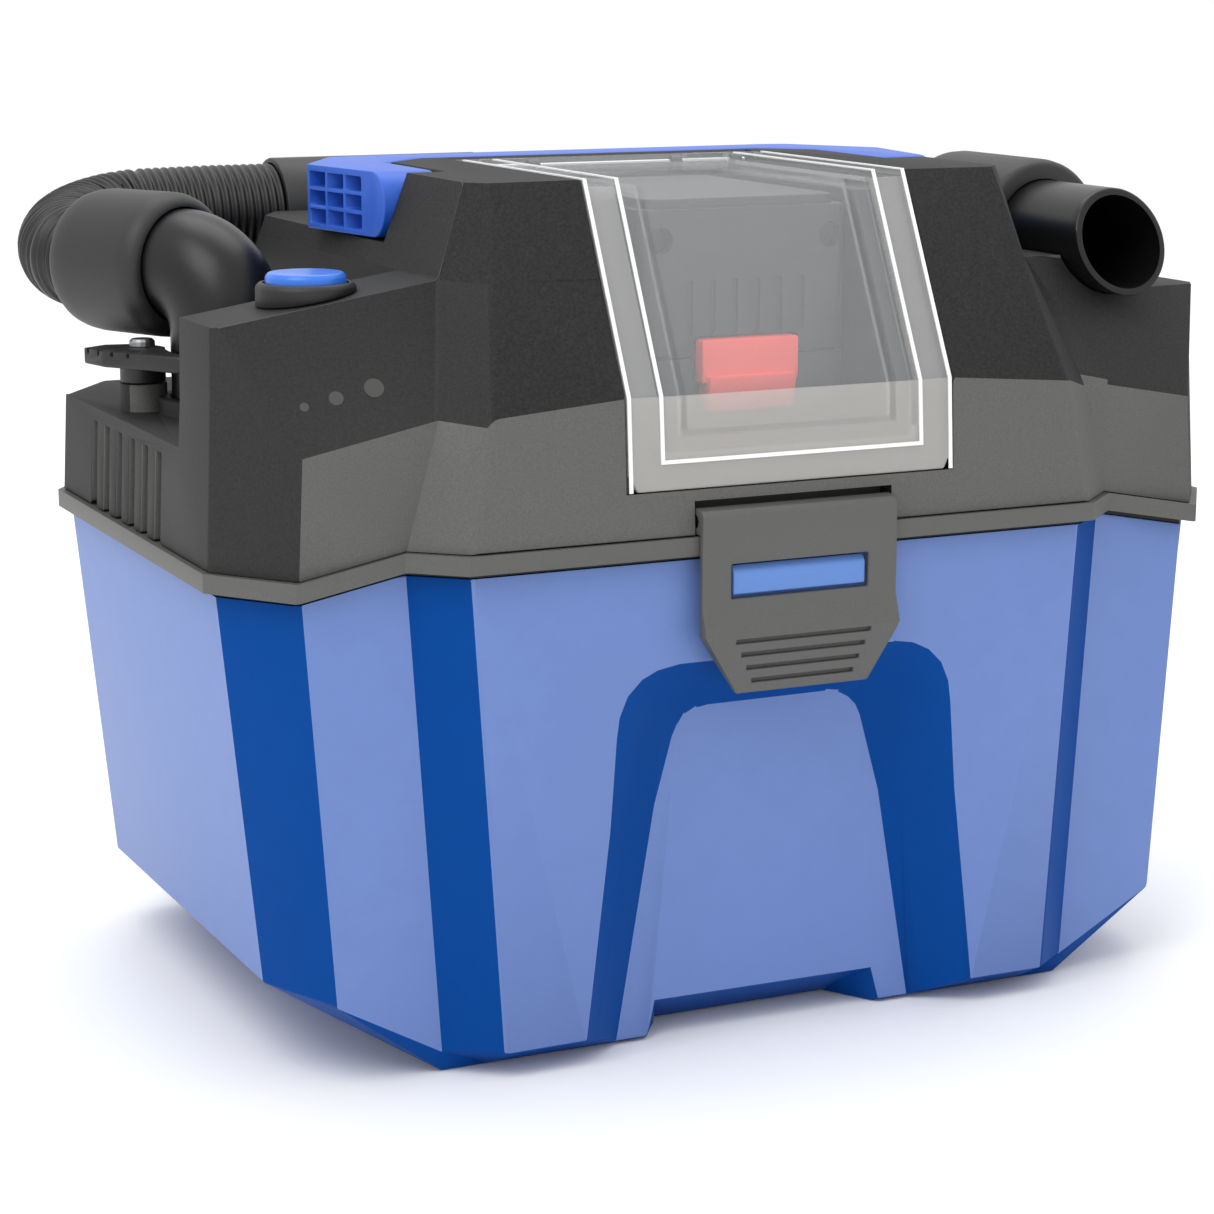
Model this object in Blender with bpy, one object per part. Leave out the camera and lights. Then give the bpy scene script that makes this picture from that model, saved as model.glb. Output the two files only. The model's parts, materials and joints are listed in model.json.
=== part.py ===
"""Compact battery shop vacuum: lobed tank with latched head, clear battery door, carry bail,
swivel hose elbow, stretch hose and parked nozzle tube.

+Z is up and -Y is the front, where the clear door and the front latch are. The origin is the
centre of the tank underside. Dimensions below are in millimetres; MM turns them into metres.
"""

import math

import bmesh
import bpy
from mathutils import Matrix, Vector

MM = 0.001

# ---- overall sizes -------------------------------------------------------------------------
TANK_TOP_Z = 156.2          # tank rim
FLANGE_Z = 158.0            # underside of the head flange
FLANGE_H = 5.8
HEAD_TOP_Z = 269.0
DIP = 6.3                   # how far the rim drops at the outer corners
DIP_FROM_X = 122.0          # the rim starts to drop here
DIP_TO_X = 156.0            # and is level again here
WALL = 2.6                  # moulded wall
# ---- fits ----------------------------------------------------------------------------------
FIT = 0.3                   # between pieces that don't move
# ---- tank plan, front-left quarter: (half width, y) ----------------------------------------
TANK_TOP = ((105.5, -115.4), (121.0, -101.9), (154.0, -102.8), (172.2, -78.6))
TANK_LOW = ((96.0, -115.8, 8.4), (111.6, -102.5, 7.0), (145.6, -103.4, 26.1), (160.6, -78.8, 29.0))
BASE_HALF = (111.0, 100.0)
RECESS_DEPTH = 13.4
# ---- head plan -----------------------------------------------------------------------------
FLANGE = ((107.9, -120.0), (123.0, -106.3), (157.0, -107.1), (176.6, -80.3))
DECK_Z = 190.5
LOBE_TOP_Z = 240.6          # beside the centre block, falling outwards
LOBE_SLOPE = 0.16
LOBE_BACK_Y = -49.0
RIGHT_BACK_Y = 52.0
SADDLE_Z = 227.6            # flat top of the right lobe
SHOULDER_Z = 239.2          # ledge between the centre block and the tube
# ---- battery, bay and door -------------------------------------------------------------------
PACK_HALF_W = 36.4
PACK_FRONT_Y = -85.0
PACK_LEN = 98.0
PACK_Z = (190.5, 262.0)
PACK_SEAM_Z = 213.0
BAY_HALF_W = 40.0
DOOR_HALF_W = 56.0
DOOR_BACK_Y = 17.0
DOOR_T = 2.2
DOOR_PIN_R = 0.9
# ---- handle ----------------------------------------------------------------------------------
BAIL_PIVOT = (-22.0, 258.5)      # y, z
BAIL_R = 10.3
BAIL_REAR_Y = 54.0
# ---- controls --------------------------------------------------------------------------------
BUTTON_AT = (-137.0, -64.0)
COLLAR_R = 15.2
BUTTON_R = 12.6
BUTTON_TRAVEL = 2.5
LATCH_HALF_W = 33.6
LATCH_FACE_Y = 123.0
LATCH_PIN = (117.5, 168.3)       # distance from the middle, z
PIN_R = 1.9
POCKET_TOP_Z = 174.6        # roof of the pocket that the latch hinges in
# ---- hose ------------------------------------------------------------------------------------
PORT_AT = (-135.0, 18.0)
LEVER_AT = (-160.0, 31.0)
ELBOW_R = 18.6
ELBOW_BEND = 19.4
ELBOW_Z = 236.0
CUFF_DIR = (-0.447, 0.894)
CUFF_R = 23.7
HOSE_R = 17.5
WAND_X = 134.0
WAND_Z = 243.7
TUBE_R = 17.0
# ---- fan, motor, filter ----------------------------------------------------------------------
MOTOR_AT = (0.0, 58.0)
MOTOR_R = 27.0
HOUSING_R = 34.0
FILTER_R = 38.0


def clear_scene():
    for obj in list(bpy.data.objects):
        bpy.data.objects.remove(obj, do_unlink=True)


clear_scene()
PARTS = bpy.data.collections.new("shop_vacuum")
CUTTERS = bpy.data.collections.new("cutters")
bpy.context.scene.collection.children.link(PARTS)
bpy.context.scene.collection.children.link(CUTTERS)
CUTTERS.hide_render = True


def material(name, colour, rough=0.5, metal=0.0, clear=0.0):
    mat = bpy.data.materials.new(name)
    mat.use_nodes = True
    bsdf = mat.node_tree.nodes["Principled BSDF"]
    bsdf.inputs["Base Color"].default_value = (*colour, 1.0)
    bsdf.inputs["Roughness"].default_value = rough
    bsdf.inputs["Metallic"].default_value = metal
    bsdf.inputs["Transmission Weight"].default_value = clear
    mat.diffuse_color = (*colour, 1.0)
    return mat


BLUE = material("tank_blue", (0.03, 0.12, 0.55), 0.25)
ACCENT = material("accent_blue", (0.02, 0.13, 0.62), 0.35)
GREY = material("head_grey", (0.05, 0.05, 0.05), 0.6)
BLACK = material("black_plastic", (0.015, 0.015, 0.016), 0.5)
RUBBER = material("black_rubber", (0.012, 0.012, 0.012), 0.8)
CLEAR = material("clear_polycarbonate", (0.9, 0.92, 0.93), 0.05, 0.0, 1.0)
RED = material("red_plastic", (0.8, 0.06, 0.05), 0.4)
STEEL = material("steel", (0.6, 0.6, 0.62), 0.3, 1.0)
COPPER = material("copper", (0.75, 0.35, 0.2), 0.35, 1.0)
FOAM = material("filter_foam", (0.16, 0.16, 0.17), 0.95)
BOARD = material("circuit_board", (0.02, 0.18, 0.06), 0.5)
PLEAT = material("filter_paper", (0.7, 0.66, 0.55), 0.9)


# ---- helpers -----------------------------------------------------------------------------------
def add(name, mesh, mat=None, coll=None, smooth=False):
    obj = bpy.data.objects.new(name, mesh)
    (coll or PARTS).objects.link(obj)
    if mat is not None:
        mesh.materials.clear()
        mesh.materials.append(mat)
    if coll is CUTTERS:
        obj.hide_render = True
        obj.display_type = "WIRE"
    if smooth:
        for poly in mesh.polygons:
            poly.use_smooth = True
        mesh.set_sharp_from_angle(angle=math.radians(35))
    return obj


def finish_bm(bm, name, mat, coll, smooth=False):
    bmesh.ops.remove_doubles(bm, verts=bm.verts, dist=1e-7)
    bmesh.ops.recalc_face_normals(bm, faces=bm.faces)
    mesh = bpy.data.meshes.new(name)
    bm.to_mesh(mesh)
    bm.free()
    return add(name, mesh, mat, coll, smooth)


def solid(name, verts, faces, mat=None, coll=None, smooth=False):
    """A closed solid from explicit corners (mm)."""
    bm = bmesh.new()
    made = [bm.verts.new(Vector(v) * MM) for v in verts]
    for face in faces:
        bm.faces.new([made[i] for i in face])
    return finish_bm(bm, name, mat, coll, smooth)


def loft(name, rings, mat=None, coll=None, smooth=False):
    """A closed solid through rings of equal length, capped at both ends."""
    count = len(rings[0])
    verts = [v for ring in rings for v in ring]
    faces = [tuple(range(count)), tuple((len(rings) - 1) * count + i for i in reversed(range(count)))]
    for r in range(len(rings) - 1):
        for i in range(count):
            j = (i + 1) % count
            faces.append((r * count + i, (r + 1) * count + i, (r + 1) * count + j, r * count + j))
    return solid(name, verts, faces, mat, coll, smooth)


def box(name, x0, x1, y0, y1, z0, z1, mat=None, coll=None):
    low = [(x0, y0, z0), (x1, y0, z0), (x1, y1, z0), (x0, y1, z0)]
    return loft(name, [low, [(x, y, z1) for x, y, _ in low]], mat, coll)


def prism(name, points, axis, a, b, mat=None, coll=None, smooth=False):
    """A polygon of (u, v) pushed from a to b along axis: x takes (y, z), y takes (x, z), z takes (x, y)."""
    place = {"x": lambda u, v, t: (t, u, v), "y": lambda u, v, t: (u, t, v), "z": lambda u, v,
             t: (u, v, t)}[axis]
    return loft(name, [[place(u, v, t) for u, v in points] for t in (a, b)], mat, coll, smooth)


def frame_to(axis):
    """Rotation that carries +Z onto axis."""
    return Vector((0, 0, 1)).rotation_difference(Vector(axis)).to_matrix().to_4x4()


def turned(name, profile, at=(0, 0, 0), axis=(0, 0, 1), n=32, mat=None, coll=None, smooth=True):
    """A solid of revolution from a closed profile of (radius, height)."""
    bm = bmesh.new()
    spin = frame_to(axis)
    rows = []
    for r, h in profile:
        if r < 1e-6:
            rows.append([bm.verts.new((Vector(at) + spin @ Vector((0, 0, h))) * MM)])
        else:
            rows.append([bm.verts.new((Vector(at) + spin @ Vector((r * math.cos(2 * math.pi * i / n),
                         r * math.sin(2 * math.pi * i / n), h))) * MM) for i in range(n)])
    for k in range(len(rows)):
        a, b = rows[k], rows[(k + 1) % len(rows)]
        if len(a) == 1 and len(b) == 1:
            continue
        for i in range(n):
            j = (i + 1) % n
            if len(a) == 1:
                bm.faces.new((a[0], b[i], b[j]))
            elif len(b) == 1:
                bm.faces.new((a[i], b[0], a[j]))
            else:
                bm.faces.new((a[i], b[i], b[j], a[j]))
    return finish_bm(bm, name, mat, coll, smooth)


def rod(name, a, b, r, n=24, mat=None, coll=None, chamfer=0.0):
    a, b = Vector(a), Vector(b)
    length = (b - a).length
    c = chamfer
    prof = [(0, 0), (r - c, 0), (r, c), (r, length - c), (r - c, length), (0, length)] if c else \
        [(0, 0), (r, 0), (r, length), (0, length)]
    return turned(name, prof, a, (b - a).normalized(), n, mat, coll)


def boolean(obj, other, operation="DIFFERENCE"):
    mod = obj.modifiers.new(operation.title(), "BOOLEAN")
    mod.operation = operation
    mod.solver = "EXACT"
    mod.object = other
    return obj


def bake(obj):
    """Replaces the object's mesh with its evaluated one, with every face flat-ended and welded."""
    bpy.context.view_layer.update()
    graph = bpy.context.evaluated_depsgraph_get()
    mesh = bpy.data.meshes.new_from_object(obj.evaluated_get(graph))
    mats = [m for m in obj.data.materials if m]
    obj.modifiers.clear()
    obj.data = mesh
    bm = bmesh.new()
    bm.from_mesh(mesh)
    bmesh.ops.remove_doubles(bm, verts=bm.verts, dist=2e-7)
    bmesh.ops.dissolve_degenerate(bm, edges=bm.edges, dist=1e-7)
    bm.to_mesh(mesh)
    bm.free()
    mesh.materials.clear()
    for m in mats[:1]:
        mesh.materials.append(m)
    for poly in mesh.polygons:
        poly.material_index = 0
    return obj


def cut(obj, *others):
    for other in others:
        boolean(obj, other)
        bake(obj)
    return obj


def join(obj, *others):
    for other in others:
        boolean(obj, other, "UNION")
        bake(obj)
    return obj


def origin_to(obj, at):
    """Moves the object's origin without moving its shape."""
    shift = Vector(at) * MM
    obj.data.transform(Matrix.Translation(-shift))
    obj.location = shift
    return obj


def quarter_ring(quarter, z_of):
    """Mirrors the front-left quarter outline into a whole ring, counter-clockwise seen from above."""
    def at(p, sx, sy):
        x, y = sx * p[0], sy * p[1]
        return (x, y, z_of(p, x))
    left = [at(p, -1, 1) for p in reversed(quarter)]
    right = [at(p, 1, 1) for p in quarter]
    back_right = [at(p, 1, -1) for p in reversed(quarter)]
    back_left = [at(p, -1, -1) for p in quarter]
    return left + right + back_right + back_left


def inset(ring, d):
    """A closed plan ring moved inwards by d, corner by corner, keeping its heights."""
    n = len(ring)
    out = []
    for i in range(n):
        p0, p1, p2 = (Vector(ring[(i + k - 1) % n][:2]) for k in range(3))
        e1, e2 = (p1 - p0).normalized(), (p2 - p1).normalized()
        n1, n2 = Vector((-e1.y, e1.x)), Vector((-e2.y, e2.x))
        m = (n1 + n2).normalized()
        q = p1 + m * (d / max(0.35, m.dot(n1)))
        out.append((q.x, q.y, ring[i][2]))
    return out


def dip(x):
    return -DIP * min(1.0, max(0.0, (abs(x) - DIP_FROM_X) / (DIP_TO_X - DIP_FROM_X)))


def dipped(obj, z_from, z_full):
    """Splits the mesh where the rim bends and lowers its outer ends, fully at z_full and not at all at z_from."""
    bm = bmesh.new()
    bm.from_mesh(obj.data)
    for x in (-DIP_TO_X, -DIP_FROM_X, DIP_FROM_X, DIP_TO_X):
        geom = bm.verts[:] + bm.edges[:] + bm.faces[:]
        bmesh.ops.bisect_plane(bm, geom=geom, plane_co=(x * MM, 0, 0), plane_no=(1, 0, 0), dist=1e-7)
    for v in bm.verts:
        z = v.co.z / MM
        share = min(1.0, max(0.0, (z - z_from) / (z_full - z_from)))
        v.co.z += dip(v.co.x / MM) * MM * share
    bmesh.ops.triangulate(bm, faces=[f for f in bm.faces if len(f.verts) > 4], ngon_method="EAR_CLIP")
    bm.to_mesh(obj.data)
    bm.free()
    return obj


def tube_z(name, x, y, z0, z1, r, r_in, mat, n=32, coll=None):
    return turned(name, [(r_in, z0), (r, z0), (r, z1), (r_in, z1)], (x, y, 0), (0, 0, 1), n, mat, coll)


# ================================================================================ tank
def tank_body(name, d, floor, top_z, mat=None, coll=None):
    """The lobed tub, inset by d, as one solid up to top_z."""
    top = inset(quarter_ring(TANK_TOP, lambda p, x: top_z), d)
    low = inset(quarter_ring(TANK_LOW, lambda p, x: p[2] + (0.6 * d if p[2] > 20 else 0.9 * d)), d)
    bx, by = BASE_HALF[0] - 0.35 * d, BASE_HALF[1] - 0.35 * d
    dx = TANK_LOW[0][0] - d
    base = [(-bx, -by), (-dx, -by), (dx, -by), (bx, -by), (bx, by), (dx, by), (-dx, by), (-bx, by)]
    verts = top + low + [(x, y, floor) for x, y in base]
    lo, bs = 16, 32
    faces = [tuple(range(16)), tuple(bs + i for i in reversed(range(8)))]
    for i in range(16):
        faces.append((i, (i + 1) % 16, lo + (i + 1) % 16, lo + i))
    for q, c, dd in ((0, 0, 1), (1, 3, 2), (2, 4, 5), (3, 7, 6)):
        a = (0, 7, 8, 15)[q]
        s = (1, -1, 1, -1)[q]
        aa, bb, cc, d4 = (lo + a + s * k for k in range(4))
        faces += [(aa, bb, bs + c), (bb, cc, bs + c), (cc, d4, bs + dd, bs + c)]
    faces += [(lo + 3, lo + 4, bs + 2, bs + 1), (lo + 11, lo + 12, bs + 6, bs + 5),
              (lo + 7, lo + 8, bs + 4, bs + 3), (lo + 15, lo, bs + 0, bs + 7)]
    return solid(name, verts, faces, mat, coll)


def recess(name, side, grow):
    """Arched recess of the front (side -1) or rear (side 1); grow moves every wall outwards."""
    y_face, y_floor = 115.6, 115.6 - RECESS_DEPTH
    half = [(68.9, 6.5), (60.9, 74.0), (58.8, 103.0), (57.9, 109.5), (55.2, 115.8), (50.4, 120.6),
            (44.6, 123.3), (38.0, 124.4)]
    inner = [(52.6, 2.0), (39.9, 75.5), (33.6, 98.0), (31.9, 101.6), (29.0, 104.6), (25.2, 106.6),
             (20.6, 107.3), (14.0, 107.4)]

    def outline(pts, g):
        right = [(x + g, z + (g if z > 100 else 0)) for x, z in pts]
        return [(-x, z) for x, z in reversed(right)] + right

    def at(t):
        """Outline at depth share t: 0 on the face, 1 on the recess floor."""
        pts = [(a[0] + (b[0] - a[0]) * t, a[1] + (b[1] - a[1]) * t) for a, b in zip(half, inner)]
        x0, z0 = pts[0]
        x1, z1 = pts[1]
        k = (x0 - x1) / (z1 - z0)
        pts[0] = (x0 + k * (z0 + 12), -12.0)
        return outline(pts, grow)
    depth = RECESS_DEPTH + grow
    rings = []
    for t in (-0.3, 0.0, 0.35, 0.7, depth / RECESS_DEPTH):
        y = side * (y_face - RECESS_DEPTH * t)
        rings.append([(x, y, z) for x, z in at(min(t, 1.0))])
    return loft(name, rings, None, CUTTERS)


def grip(name, side, grow):
    """Finger ramp under the recess: high at the face, running down to the base behind it."""
    y0, y1 = 100.0 + 20, 83.5
    z_in = 12.8
    rings = []
    for y, half_low, half_top, top in ((y0, 47.0, 40.5, z_in + 6.0), (103.3, 44.8, 39.6, z_in),
                                       (y1, 31.0, 31.0, -0.6)):
        low = -6.0 - grow
        rings.append([(-half_low - grow, side * y, low), (half_low + grow, side * y, low),
                      (half_top + grow, side * y, top + grow), (-half_top - grow, side * y, top + grow)])
    if grow:
        last = [(x, y - side * 4 * grow, z) for x, y, z in rings[-1]]
        rings[-1] = last
    return loft(name, rings, None, CUTTERS)


cavity = tank_body("tank_cavity", WALL, WALL + 0.4, TANK_TOP_Z + 6, None, CUTTERS)
for side in (-1, 1):
    cut(cavity, recess("recess_skin", side, WALL), grip("grip_skin", side, WALL))
tank = tank_body("tank", 0.0, 0.0, TANK_TOP_Z, BLUE)
for side in (-1, 1):
    cut(tank, recess("recess_cut", side, 0.0), grip("grip_cut", side, 0.0))
cut(tank, cavity)
for side in (-1, 1):
    catch = prism("catch", [(side * 114.8, 142.2), (side * 119.6, 143.6), (side * 120.3, 145.3),
                            (side * 122.2, 145.6),
                            (side * 122.2, 152.2), (side * 120.4, 154.4), (side * 114.8, 154.4)], "x",
                  -22.8, 22.8,
                  None, CUTTERS)
    join(tank, catch)
dipped(tank, TANK_TOP_Z - 25, TANK_TOP_Z)


def ring_solid(name, quarter, d0, d1, z0, z1, mat=None, coll=None):
    ring = quarter_ring(quarter, lambda p, x: z0)
    obj = loft(name, [inset(ring, d0), [(x, y, z1) for x, y, _ in inset(ring, d0)]], mat, coll)
    hole = loft(name + "_hole", [[(x, y, z0 - 1) for x, y, _ in inset(ring, d1)],
                                 [(x, y, z1 + 1) for x, y, _ in inset(ring, d1)]], None, CUTTERS)
    return cut(obj, hole)


dipped(ring_solid("tank_gasket", TANK_TOP, 0.3, 2.4, TANK_TOP_Z + FIT, FLANGE_Z - FIT, RUBBER), 0, 100)

# ================================================================================ head base
base = loft("head_base", [quarter_ring(FLANGE, lambda p, x: FLANGE_Z),
                          quarter_ring(FLANGE, lambda p, x: FLANGE_Z + FLANGE_H)], GREY)
pocket = loft("base_pocket", [inset(quarter_ring(FLANGE, lambda p, x: FLANGE_Z + 3.0), 5.6),
                              inset(quarter_ring(FLANGE, lambda p, x: FLANGE_Z + 20.0), 5.6)], None, CUTTERS)
cut(base, pocket)
neck = tube_z("neck", *MOTOR_AT, FLANGE_Z - 9.0, FLANGE_Z + 1.5, 30.0, 22.0, None, 28, CUTTERS)
join(base, neck)
SCREW_AT = [(-96.0, -92.0), (96.0, -92.0), (-148.0, -30.0), (148.0, -30.0), (-96.0, 96.0), (96.0, 96.0)]
cut(base, rod("fan_inlet", (*MOTOR_AT, 140), (*MOTOR_AT, 180), 22.0, 28, None, CUTTERS),
    rod("hose_inlet", (*PORT_AT, 140), (*PORT_AT, 180), 15.8, 32, None, CUTTERS))
dipped(base, 0, 100)
cut(base, *[rod("screw_way", (x, y, 140), (x, y, 190), 2.3, 12, None, CUTTERS) for x, y in SCREW_AT])

# ================================================================================ head shell
SHELL_Z = FLANGE_Z + FLANGE_H + FIT


HEAD_RINGS = (
    ((56.0, -118.6, SHELL_Z), (106.3, -118.6, SHELL_Z), (121.8, -104.9, SHELL_Z), (155.4, -105.4, SHELL_Z),
     (174.8, -79.6, SHELL_Z)),
    ((56.0, -116.2, 206.6), (98.9, -116.8, 203.2), (112.0, -104.8, 202.0), (153.5, -105.0, 193.7),
     (172.4, -78.3, 205.0)),
    ((56.0, -98.8, 241.0), (92.3, -99.2, 241.0), (102.0, -82.4, 240.6), (169.9, -81.4, 229.6),
     (171.8, -78.3, 230.6)),
    ((56.0, -84.6, HEAD_TOP_Z), (87.5, -86.2, HEAD_TOP_Z), (92.5, -80.0, HEAD_TOP_Z),
     (168.6, -82.0, HEAD_TOP_Z),
     (171.8, -78.3, HEAD_TOP_Z)),
)


def side_cut(name, sx, profile, y0, y1):
    """Takes away what lies outside an (x, z) profile beside the centre block, between y0 and y1."""
    return prism(name, [(sx * x, z) for x, z in profile], "y", y0, y1, None, CUTTERS)


def head_solid(name, d, mat=None, coll=CUTTERS):
    """The whole head as one solid, every face moved inwards by d."""
    rings = []
    for k, quarter in enumerate(HEAD_RINGS):
        ring = quarter_ring(quarter, lambda p,
                            x: p[2] - (d if k == 3 else 0.0) - (14.0 if d and k == 0 else 0.0))
        rings.append(inset(ring, d) if d else ring)
    obj = loft(name, rings, mat, coll)
    wall = [(104.0 - d, DECK_Z - d), (102.2 - d, 240.6 - d), (86.0 - d, 288.5 - d), (86.0 - d, 330.0)]
    deck = wall + [(320.0, 330.0), (320.0, DECK_Z - d)]
    over_left = [(102.2 - d, LOBE_TOP_Z - d), (86.0 - d, 288.5 - d), (86.0 - d, 330.0), (320.0, 330.0),
                 (320.0, LOBE_TOP_Z - LOBE_SLOPE * 218 - d)]
    over_right = [(102.7 - d, SHOULDER_Z - d), (86.0 - d, 288.5 - d), (86.0 - d, 330.0), (320.0, 330.0),
                  (320.0, SADDLE_Z - d), (129.0 - d, SADDLE_Z - d), (117.0 - d, SHOULDER_Z - d)]
    cut(obj, side_cut("over_left", -1, over_left, -200, LOBE_BACK_Y + 5),
        side_cut("deck_left", -1, deck, LOBE_BACK_Y - d, 200),
        side_cut("over_right", 1, over_right, -200, RIGHT_BACK_Y + 5),
        side_cut("deck_right", 1, deck, RIGHT_BACK_Y - d, 200),
        prism("niche", NICHE_SKIN if d else NICHE, "z", BAIL_Z[0] - 0.8 - d, 320, None, CUTTERS),
        cradle("cradle", d))
    return obj


NICHE = [(-220, -33.2), (-79.2, -33.2), (-79.2, 14.6), (-63.4, 28.8), (63.4, 28.8), (79.2, 14.6),
         (79.2, -33.2),
         (220, -33.2), (220, 220), (-220, 220)]
NICHE_SKIN = [(-220, -35.8), (-76.6, -35.8), (-76.6, 13.4), (-62.4, 26.2), (62.4, 26.2), (76.6, 13.4),
              (76.6, -35.8), (220, -35.8), (220, 220), (-220, 220)]
BAIL_Z = (BAIL_PIVOT[1] - BAIL_R, BAIL_PIVOT[1] + BAIL_R)


def cradle(name, grow):
    tube_part = rod(name, (WAND_X, -130, WAND_Z), (WAND_X, 60, WAND_Z), TUBE_R + 0.5 + grow, 40, None,
                    CUTTERS)
    collar_part = rod(name + "_b", (WAND_X, -46.0 - grow, WAND_Z), (WAND_X, 60, WAND_Z),
                      CUFF_R + 0.6 + grow, 40, None,
                      CUTTERS)
    return join(tube_part, collar_part)


shell = head_solid("head_shell", 0.0, GREY, PARTS)
cut(shell, head_solid("inside", WALL))
port_boss = rod("port_boss", (*PORT_AT, DECK_Z - 1.6), (*PORT_AT, DECK_Z + 5.0), 23.0, 40, None, CUTTERS)
lever_boss = rod("lever_boss", (*LEVER_AT, DECK_Z - 1.6), (*LEVER_AT, DECK_Z + 9.0), 7.7, 28, None, CUTTERS)
join(shell, port_boss, lever_boss)

DOOR_FRONT = [(-118.0, 178.4), (-116.2, 206.6), (-84.6, HEAD_TOP_Z), (DOOR_BACK_Y, HEAD_TOP_Z)]


def offset_line(points, d):
    """Open polyline in (y, z) moved by d to its right-hand side going from the front up and back."""
    out = []
    for i, p in enumerate(points):
        dirs = []
        if i:
            dirs.append((Vector(p) - Vector(points[i - 1])).normalized())
        if i < len(points) - 1:
            dirs.append((Vector(points[i + 1]) - Vector(p)).normalized())
        norms = [Vector((e.y, -e.x)) for e in dirs]
        m = sum(norms, Vector((0, 0))).normalized()
        q = Vector(p) + m * (d / m.dot(norms[0]))
        out.append((q.x, q.y))
    return out


def layer(points, d0, d1):
    return offset_line(points, d0) + list(reversed(offset_line(points, d1)))


door_way = prism("door_way",
                 layer([(-118.0, 178.0), DOOR_FRONT[1], DOOR_FRONT[2], (DOOR_BACK_Y + 8.0, HEAD_TOP_Z)], -9,
                       9),
                 "x", -(DOOR_HALF_W + 0.4), DOOR_HALF_W + 0.4, None, CUTTERS)
cut(shell, door_way)
for y in (42.1, 27.9, 13.7, -0.5, -14.7, -28.9):
    cut(shell, box("vent", -190.0, -160.0, y - 3.2, y + 3.2, 163.8, 186.2, None, CUTTERS))
cut(shell, rod("port_way", (*PORT_AT, 150), (*PORT_AT, 230), ELBOW_R + 0.5, 40, None, CUTTERS),
    rod("button_way", (*BUTTON_AT, 200), (*BUTTON_AT, 260), COLLAR_R - 2.4, 32, None, CUTTERS),
    rod("lever_way", (*LEVER_AT, 150), (*LEVER_AT, 230), 2.2, 16, None, CUTTERS))
for sx in (-1, 1):
    cut(shell, rod("pin_way", (sx * 70, *BAIL_PIVOT), (sx * 84, *BAIL_PIVOT), 3.15, 20, None, CUTTERS))
for side in (-1, 1):
    outer_y = sorted((side * 117.4, side * 108.6))
    inner_y = sorted((side * 130.0, side * 111.0))
    half = LATCH_HALF_W + 0.5
    join(shell, box("pocket_wall", -half - 2.4, half + 2.4, *outer_y, SHELL_Z + 0.4, POCKET_TOP_Z + 2.4,
                    None, CUTTERS))
    cut(shell, box("pocket_way", -half, half, *inner_y, 150.0, POCKET_TOP_Z, None, CUTTERS))
dipped(shell, DECK_Z - 4, SHELL_Z)

# ================================================================================ door
HINGE = (DOOR_BACK_Y + 2.2, HEAD_TOP_Z - 3.0)


def door_layer(name, d0, d1, half, line, mat=None, coll=CUTTERS):
    return prism(name, layer(line, d0, d1), "x", -half, half, mat, coll)


door = door_layer("battery_door", 0.0, DOOR_T, DOOR_HALF_W - FIT, DOOR_FRONT, CLEAR, PARTS)
for sx in (-1, 1):
    cut(door, prism("door_corner", [(sx * 57, 170), (sx * 57, 186), (sx * 48.5, 170)], "y", -130, -100,
                    None, CUTTERS))
for half, low_z, back_y, depth in ((44.6, 187.0, 9.0, 3.0), (37.0, 194.0, 6.0, 4.2)):
    line = [(-116.6, low_z), DOOR_FRONT[1], DOOR_FRONT[2], (back_y, HEAD_TOP_Z)]
    rib = door_layer("door_rib", DOOR_T - 0.6, DOOR_T + depth - 1.4, half, line)
    line_in = [(-116.6, low_z + 2.0), DOOR_FRONT[1], DOOR_FRONT[2], (back_y - 2.0, HEAD_TOP_Z)]
    cut(rib, door_layer("door_rib_in", DOOR_T - 3.0, DOOR_T + depth + 3.0, half - 1.8, line_in))
    join(door, rib)
for sx in (-1, 1):
    ends = sorted((sx * 30.0, sx * 46.0))
    join(door, box("knuckle_arm", *ends, DOOR_BACK_Y - 4.0, HINGE[0] + 0.4, HEAD_TOP_Z - 2.1,
                   HEAD_TOP_Z - 0.4, None, CUTTERS),
         rod("knuckle", (ends[0] + 0.1, *HINGE), (ends[1] - 0.1, *HINGE), 2.7, 20, None, CUTTERS))
cut(door, rod("hinge_way", (-60, *HINGE), (60, *HINGE), DOOR_PIN_R + FIT, 16, None, CUTTERS))
origin_to(door, (0, *HINGE))
rod("door_pin", (-53.0, *HINGE), (53.0, *HINGE), DOOR_PIN_R, 16, STEEL)

# ================================================================================ battery bay
BAY_FLOOR = PACK_Z[0] - 2.0
BAY_LINE = [(-117.6, 179.6), DOOR_FRONT[1], DOOR_FRONT[2], (DOOR_BACK_Y + 6.6, HEAD_TOP_Z)]
BAY_D = (6.2, 8.8)
bay = prism("battery_bay", layer(BAY_LINE, *BAY_D), "x", -DOOR_HALF_W + 0.4, DOOR_HALF_W - 0.4, BLACK)
tub_front = offset_line(BAY_LINE, BAY_D[1] - 1.0)
TUB_LOW = BAY_FLOOR - 2.4
tub_outline = [(tub_front[0][0] + 0.5, TUB_LOW), tub_front[1], tub_front[2],
               (DOOR_BACK_Y + 3.0, tub_front[2][1] - 0.1),
               (DOOR_BACK_Y + 3.0, TUB_LOW)]
join(bay, prism("tub", tub_outline, "x", -BAY_HALF_W - 2.4, BAY_HALF_W + 2.4, None, CUTTERS))
cut(bay, box("tub_in", -BAY_HALF_W, BAY_HALF_W, -140.0, DOOR_BACK_Y - 2.0, BAY_FLOOR, 300.0, None, CUTTERS))
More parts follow.
